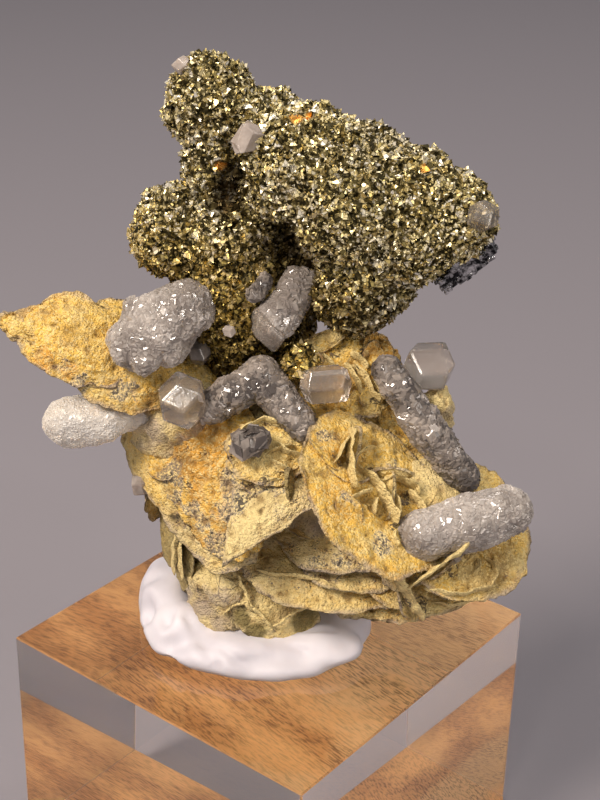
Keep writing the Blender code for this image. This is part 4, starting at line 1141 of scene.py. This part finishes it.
galenaLook = {
    "slope": 42.0,
    "slabs": (((16.4, 0.6, 67.3), (3.0, 4.2, 1.8)), ((17.6, 0.4, 68.6), (3.2, 4.0, 2.6)),
              ((18.6, 0.2, 70.1), (2.8, 3.4, 3.0))),
    "core": (0.92, 0.92, 0.80),   # shares of a slab that are solid
    "blocks": 36,                 # small blocks that stand out of each slab
    "spread": 0.45,
    "depth": 0.42,
    "blockSizes": ((0.4, 1.2), (0.3, 0.9), (0.15, 0.45)),
    "lean": 9.0,
    "bevel": 0.04,
    "seed": 31,
}


def makeGalena():
    look = galenaLook
    pick = random.Random(look["seed"])
    bm = bmesh.new()
    turn = Matrix.Rotation(math.radians(-look["slope"]), 4, "Y")
    for middle, size in look["slabs"]:
        place = Matrix.Translation(Vector(middle)) @ turn
        core = Matrix.Diagonal((*[long * share for long, share in zip(size, look["core"])], 1.0))
        bmesh.ops.create_cube(bm, size=1.0, matrix=place @ core)
        for _ in range(look["blocks"]):
            spot = Vector([long * pick.uniform(-look["spread"], look["spread"]) for long in size])
            face = pick.randrange(3)
            spot[face] = math.copysign(size[face] * look["depth"], spot[face])
            block = Matrix.Diagonal((*[pick.uniform(*span) for span in look["blockSizes"]], 1.0))
            angle = math.radians(pick.gauss(0.0, look["lean"]))
            lean = Matrix.Rotation(angle, 4, (pick.random(), pick.random(), 0.3))
            bmesh.ops.create_cube(bm, size=1.0, matrix=place @ Matrix.Translation(spot) @ lean @ block)
    bmesh.ops.bevel(bm, geom=bm.edges[:], offset=look["bevel"], offset_type="OFFSET", segments=1,
                    profile=0.5, affect="EDGES", material=-1)
    makePiece("galenaCrust", bm, galenaFinish, "galena_crust")


makeGalena()


# Calcite: fingers of intergrown crystals, and single six-sided crystals

# Small crystals strewn over a finger: how close, how large, and how far they lean and turn
skinLooks = {
    "coarse": {"density": 8.5, "closest": 0.27, "sizes": (0.45, 0.95), "rarity": 1.4,
               "lean": (0.20, 0.20, 0.4)},
    "blocky": {"density": 3.0, "closest": 0.45, "sizes": (0.9, 1.5), "rarity": 1.2, "lean": (0.3, 0.3, 3.1)},
    "fine": {"density": 12.0, "closest": 0.22, "sizes": (0.32, 0.75), "rarity": 1.6,
             "lean": (0.24, 0.24, 0.7)},
    "sugary": {"density": 16.0, "closest": 0.18, "sizes": (0.26, 0.50), "rarity": 1.6,
               "lean": (0.25, 0.25, 3.1)},
}

# Each finger's darkening lists places where it is darker: a middle and a reach in mm, and an amount.
fingers = (
    {
        "name": "calciteWingCluster", "node": "calcite_wing_cluster", "tint": "pale", "skin": "fine",
        "runs": ((((-13.6, -1.6, 60.2), (-11.2, -1.2, 61.8), (-8.8, -0.8, 63.4)), (2.7, 3.5, 2.9)),
                 (((-13.6, -0.4, 62.6), (-10.4, -1.6, 60.0)), (1.6, 2.2)),
                 (((-14.6, -3.0, 59.6), (-14.2, -2.6, 60.2)), (1.3, 1.4)),
                 (((-12.4, -3.4, 59.1), (-12.0, -3.0, 59.8)), (1.4, 1.5)),
                 (((-9.9, -3.0, 59.8), (-9.8, -2.6, 60.4)), (1.3, 1.4))),
        "darkening": (((-7.0, -1.0, 65.5), 4.0, 0.5),),
    },
    {
        "name": "calciteUnderWing", "node": "calcite_under_wing_finger", "tint": "white", "skin": "sugary",
        "runs": ((((-20.4, -1.5, 51.3), (-17.0, -1.4, 51.9), (-12.6, 0.6, 52.4)), (2.6, 2.5, 1.7)),),
        "darkening": (((-13.0, 0.0, 52.5), 3.0, 0.5),),
    },
    {
        "name": "calciteSmokyChain", "node": "calcite_smoky_chain", "tint": "smoky", "skin": "fine",
        "runs": ((((-6.4, -2.8, 53.8), (-1.6, -1.9, 57.0), (2.6, -4.2, 53.0)), (1.7, 2.1, 1.8)),),
        "darkening": (),
    },
    {
        "name": "calciteCavityFinger", "node": "calcite_cavity_finger", "tint": "pale", "skin": "coarse",
        "runs": ((((-0.4, -0.9, 62.4), (2.0, 1.8, 64.8)), (2.1, 2.0)),),
        "darkening": (((1.4, 1.2, 64.8), 6.0, 0.85),),
    },
    {
        "name": "calciteStriated", "node": "calcite_striated_crystal", "tint": "smoky", "skin": "fine",
        "runs": ((((-2.2, -0.9, 65.2), (-1.2, 0.4, 66.0)), (0.95, 0.85)),),
        "darkening": (),
    },
    {
        "name": "calciteLongFinger", "node": "calcite_long_finger", "tint": "smoky", "skin": "coarse",
        "runs": ((((10.8, -1.0, 57.4), (14.8, -3.2, 52.0), (18.5, -4.0, 47.5)), (1.6, 2.0, 1.6)),),
        "darkening": (((10.5, -1.0, 57.6), 2.5, 0.5), ((18.5, -4.0, 47.0), 4.0, 0.8)),
    },
    {
        "name": "calciteLyingFinger", "node": "calcite_lying_finger", "tint": "pale", "skin": "fine",
        "runs": ((((14.2, -10.3, 44.7), (18.4, -9.4, 45.5), (22.4, -8.0, 46.2)), (2.5, 2.8, 2.6)),
                 (((17.2, -10.6, 42.9), (17.6, -9.8, 43.4)), (1.0, 1.0))),
        "darkening": (((13.0, -10.5, 44.5), 3.5, 0.35), ((17.0, -11.0, 42.6), 2.2, 0.8)),
    },
    {
        "name": "calciteDarkCrystal", "node": "calcite_dark_crystal", "tint": "smoky", "skin": "blocky",
        "runs": ((((-2.9, -7.2, 52.5), (-1.6, -7.1, 53.0)), (1.2, 1.15)),),
        "darkening": (((-2.2, -7.2, 52.6), 5.0, 0.52),),
    },
)

# Single crystals: middle, axis, radius, half length, turn and how uneven
singleCrystals = (
    ("calciteClearRhomb", "calcite_smoky_chain", "clear",
     (-8.9, -3.5, 55.0), (-0.15, -0.35, 0.92), 2.5, 2.9, 36.0, 0.06),
    ("calciteCavityTip", "calcite_cavity_finger", "clear",
     (-1.0, -1.5, 61.8), (-0.75, -0.45, -0.48), 2.4, 1.8, 0.0, 0.05),
    ("calcitePale", "calcite_pale_crystal", "clear",
     (4.7, -3.2, 56.9), (0.95, 0.1, 0.05), 1.9, 2.9, 20.0, 0.08),
    ("calciteBackCube", "calcite_back_cube", "clear",
     (15.0, 1.6, 56.9), (0.25, -0.35, 0.90), 2.6, 2.7, 8.0, 0.06),
    ("calciteTip", "calcite_tip_crystal", "clear", (18.5, -3.6, 74.4), (0.5, -0.6, 0.6), 1.5, 1.6, 0.0, 0.10),
    ("calciteFlat", "calcite_flat_crystal", "pale",
     (-3.0, -0.3, 80.2), (0.5, 0.1, 0.85), 1.2, 1.75, 42.0, 0.50),
    ("calciteTopBead", "calcite_top_bead", "pale", (-9.1, 3.8, 85.6), (-0.4, -0.4, 0.8), 0.9, 1.0, 0.0, 0.2),
    ("calciteColumnBead", "calcite_column_bead", "pale",
     (-4.6, -1.4, 61.5), (0.1, -0.9, 0.4), 0.7, 0.9, 0.0, 0.1),
    ("calciteEdgeBead", "calcite_edge_bead", "pale",
     (-13.4, 0.0, 43.8), (-0.8, -0.5, 0.1), 1.35, 1.4, 0.0, 0.15),
    ("calciteShaded", "calcite_shaded_crystal", "smoky",
     (-7.6, 0.2, 58.4), (0.1, -0.7, 0.6), 1.2, 1.5, 0.0, 0.1),
)

prismLook = {
    "ends": ((1.0, 30.0), (-1.0, 90.0)),   # each end's side and the turn of its first face
    "slant": 32.0,
    "cut": 0.12,     # how deep the end faces cut in, as a share of the radius
    "bevel": 0.09,
    "wave": 0.8,
}

fingerLook = {
    "spacing": 0.35,   # from ball to ball, as a share of the smaller radius
    "under": 0.10,     # how far the core stays under its crystals, mm
    "voxel": 0.24,
    "bumps": ((0.34, 2.2), (0.12, 0.9)),
    "firstSeed": 41,
    "rhombFlat": 0.42,
    "rhombSunk": 0.17,
}


def addBalls(bm, points, reaches):
    # A chain of balls along bent runs, ready to be melted into a finger.
    ends = [Vector(point) for point in points]
    for start, end, reachStart, reachEnd in zip(ends, ends[1:], reaches, reaches[1:]):
        count = max(2, round((end - start).length / (fingerLook["spacing"] * min(reachStart, reachEnd))))
        for step in range(count + 1):
            share = step / count
            reach = reachStart + (reachEnd - reachStart) * share
            place = Matrix.Translation(start.lerp(end, share))
            bmesh.ops.create_icosphere(bm, subdivisions=3, radius=reach, matrix=place)


def rhombShape(name):
    # The three-faced end of a small calcite rhomb, low and half sunk.
    bm = bmesh.new()
    bmesh.ops.create_cube(bm, size=1.0)
    bmesh.ops.rotate(bm, verts=bm.verts, cent=(0.0, 0.0, 0.0),
                     matrix=Matrix.Rotation(math.acos(1.0 / math.sqrt(3.0)), 3, (1.0, -1.0, 0.0)))
    bmesh.ops.scale(bm, vec=(1.0, 1.0, fingerLook["rhombFlat"]), verts=bm.verts)
    bmesh.ops.translate(bm, vec=(0.0, 0.0, -fingerLook["rhombSunk"]), verts=bm.verts)
    return linked(name, bmeshToMesh(bm, name))


def makeFinger(finger, rhomb, seed):
    look = fingerLook
    bm = bmesh.new()
    for points, reaches in finger["runs"]:
        addBalls(bm, points, [reach - look["under"] for reach in reaches])
    bm = melt(bm, look["voxel"], 3)
    roughen(bm, look["bumps"])
    bm = strewn(bm, finger["name"] + "Strew", rhomb, skinLooks[finger["skin"]], seed)
    darkening = bm.verts.layers.float.new("darkening")
    for vert in bm.verts:
        for middle, reach, amount in finger["darkening"]:
            near = smoothStep(reach, 0.0, (vert.co - Vector(middle)).length)
            vert[darkening] = max(vert[darkening], amount * near)
    tint = finger["tint"]
    makePiece(finger["name"], bm, calciteFinishes[tint], finger["node"])


def makePrism(middle, axis, radius, halfLength, turn, uneven):
    # A six-sided crystal whose two ends are each cut by three slanting faces.
    look = prismLook
    bm = bmesh.new()
    bmesh.ops.create_cone(bm, cap_ends=True, segments=6, radius1=radius, radius2=radius,
                          depth=2.0 * halfLength)
    slant = math.radians(look["slant"])
    for end, first in look["ends"]:
        for third in range(3):
            around = math.radians(first + 120.0 * third)
            outward = Vector((math.cos(around) * math.sin(slant), math.sin(around) * math.sin(slant),
                              end * math.cos(slant)))
            capCut(bm, Vector((0.0, 0.0, end * halfLength)) - outward * radius * look["cut"], outward)
    bmesh.ops.bevel(bm, geom=bm.edges[:], offset=radius * look["bevel"], offset_type="OFFSET", segments=2,
                    profile=0.5, affect="EDGES", material=-1, clamp_overlap=True)
    bmesh.ops.recalc_face_normals(bm, faces=bm.faces)
    spin = Matrix.Rotation(math.radians(turn), 4, "Z")
    bmesh.ops.transform(bm, matrix=facing(middle, axis, (0.0, 1.0, 0.0)) @ spin, verts=bm.verts)
    for vert in bm.verts:
        spot = vert.co / (radius * look["wave"]) + Vector(middle)
        sway = Vector([noise.noise(spot + Vector((0.0, 0.0, 9.3 * i))) for i in range(3)])
        vert.co += radius * uneven * sway
    return bm


def makeCalcites():
    rhomb = rhombShape("rhomb")
    for seed, finger in enumerate(fingers, fingerLook["firstSeed"]):
        makeFinger(finger, rhomb, seed)
    bpy.data.objects.remove(rhomb)
    for name, node, tint, *shape in singleCrystals:
        makePiece(name, makePrism(*shape), calciteFinishes[tint], node)
    print("calcite made")


makeCalcites()


# Putty, block and sheet

puttyLook = {
    "voxel": 0.35,
    "bumps": ((0.22, 3.0),),
    "sinksIn": 0.06,   # how far the putty reaches into the block, mm
    "lumps": (
        ((-2.1, -0.6, 28.0), (12.2, 9.8, 3.0)),
        ((-11.2, 1.6, 29.4), (3.2, 5.6, 3.2)),
        ((-9.2, -4.4, 29.0), (3.4, 3.2, 2.8)),
        ((-3.4, -7.4, 28.4), (5.4, 2.8, 2.1)),
        ((4.2, -5.6, 28.4), (5.0, 3.4, 2.1)),
        ((7.0, 0.4, 28.8), (3.6, 5.0, 2.8)),
        ((-4.0, 6.8, 29.4), (7.0, 3.0, 3.4)),
    ),
    "dents": (   # start, end, width and depth
        ((-13.6, -2.4, 31.4), (-12.4, -3.4, 27.4), 0.9, 0.9),
        ((-11.2, -5.2, 31.6), (-9.8, -7.6, 27.6), 1.1, 1.1),
        ((-12.6, 0.6, 33.0), (-14.0, 0.2, 30.4), 0.8, 0.6),
        ((-8.4, -5.6, 32.0), (-5.6, -9.6, 28.6), 0.8, 0.6),
        ((-6.0, -8.4, 30.8), (-1.8, -10.6, 28.6), 0.6, 0.35),
        ((-2.0, -7.0, 31.4), (6.4, -5.4, 30.4), 0.40, 0.40),
        ((-1.4, -7.4, 31.2), (3.4, -8.2, 29.6), 0.40, 0.34),
        ((2.0, -9.4, 29.4), (7.4, -7.0, 29.0), 0.8, 0.30),
        ((-3.4, -9.8, 29.2), (0.6, -9.4, 29.4), 0.7, 0.25),
    ),
}


def makePutty():
    look = puttyLook
    bm = bmesh.new()
    addLumps(bm, look["lumps"])
    bm = melt(bm, look["voxel"], 8)
    roughen(bm, look["bumps"])
    pressDents(bm, look["dents"])
    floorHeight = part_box("acrylic_block")[1].z / millimetre - look["sinksIn"]
    capCut(bm, (0.0, 0.0, floorHeight), (0.0, 0.0, -1.0))
    bmesh.ops.recalc_face_normals(bm, faces=bm.faces)
    makePiece("putty", bm, puttyFinish, "mounting_putty", True)


sheetLook = {
    "contact": 0.16,   # the block is stuck to the sheet, so its face stands this far inside the block, mm
    "narrower": 0.9996,
    "bevel": 0.05,
}


def makeSheet():
    look = sheetLook
    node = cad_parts["wood_grain_sheet"]
    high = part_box("acrylic_block")[0].z / millimetre + look["contact"]
    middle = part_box("wood_grain_sheet")[1].z / millimetre / 2.0
    bm = bmesh.new()
    bm.from_mesh(node.data)
    bmesh.ops.transform(bm, matrix=Matrix.Scale(1.0 / millimetre, 4) @ node.matrix_world, verts=bm.verts)
    bmesh.ops.remove_doubles(bm, verts=bm.verts, dist=0.001)
    for vert in bm.verts:
        upper = vert.co.z > middle
        vert.co = (vert.co.x * look["narrower"], vert.co.y * look["narrower"], high if upper else 0.0)
    bmesh.ops.bevel(bm, geom=bm.edges[:], offset=look["bevel"], segments=2, profile=0.5, affect="EDGES",
                    material=-1)
    makePiece("woodSheet", bm, woodFinish, "wood_grain_sheet")


makePutty()
makeSheet()
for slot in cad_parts["acrylic_block"].material_slots:
    slot.material = acrylicFinish
print("putty, block and sheet made")


# Floor, light and camera

studio = {
    "floor": (0.238, 0.222, 0.246),
    "floorRoughness": 0.7,
    "floorHalf": 4.0,   # metres
    "world": (0.50, 0.49, 0.50),
    "worldStrength": 0.55,
    # name, place, size, watts and colour
    "lights": (
        ("keyLight", (-0.28, -0.22, 0.42), 0.16, 3.15, (1.0, 0.87, 0.75)),
        ("fillLight", (0.42, -0.30, 0.22), 0.28, 0.85, (1.0, 0.89, 0.80)),
        ("rearLight", (0.10, 0.30, 0.60), 0.22, 0.9, (1.0, 0.92, 0.86)),
        ("glintLeft", (-0.10, -0.34, 0.38), 0.035, 0.20, (1.0, 0.93, 0.85)),
        ("glintRight", (0.24, -0.30, 0.40), 0.035, 0.20, (1.0, 0.93, 0.85)),
        ("glintAbove", (0.02, -0.02, 0.50), 0.040, 0.20, (1.0, 0.93, 0.85)),
    ),
    "aim": (0.0, 0.0, 0.05),
    "cameraPlace": (0.00232, -0.13843, 0.12271),
    "cameraTilt": 63.47,
    "cameraRoll": 1.32,
    "lens": 70.78,
}


def makeStudio():
    own = studio
    bm = bmesh.new()
    bmesh.ops.create_grid(bm, x_segments=1, y_segments=1, size=own["floorHalf"])
    floor = linked("floor", bmeshToMesh(bm, "floor"))
    finish = Finish("floorFinish", Roughness=own["floorRoughness"], Base_Color=own["floor"])
    floor.data.materials.append(finish.material)

    world = bpy.data.worlds.new("studio")
    bpy.context.scene.world = world
    world.use_nodes = True
    air = world.node_tree.nodes["Background"]
    air.inputs["Color"].default_value = (*own["world"], 1.0)
    air.inputs["Strength"].default_value = own["worldStrength"]

    for name, place, size, power, colour in own["lights"]:
        lamp = bpy.data.lights.new(name, "AREA")
        lamp.size = size
        lamp.energy = power
        lamp.color = colour
        thing = linked(name, lamp)
        thing.location = place
        thing.rotation_euler = (Vector(own["aim"]) - Vector(place)).to_track_quat("-Z", "Y").to_euler()

    camera = linked("camera", bpy.data.cameras.new("camera"))
    camera.data.lens = own["lens"]
    camera.data.clip_start = 0.01
    camera.matrix_world = (
        Matrix.Translation(Vector(own["cameraPlace"]))
        @ Matrix.Rotation(math.radians(own["cameraTilt"]), 4, "X")
        @ Matrix.Rotation(math.radians(own["cameraRoll"]), 4, "Z")
    )
    bpy.context.scene.camera = camera
    bpy.context.scene.view_settings.view_transform = "Standard"


makeStudio()
print("studio made")
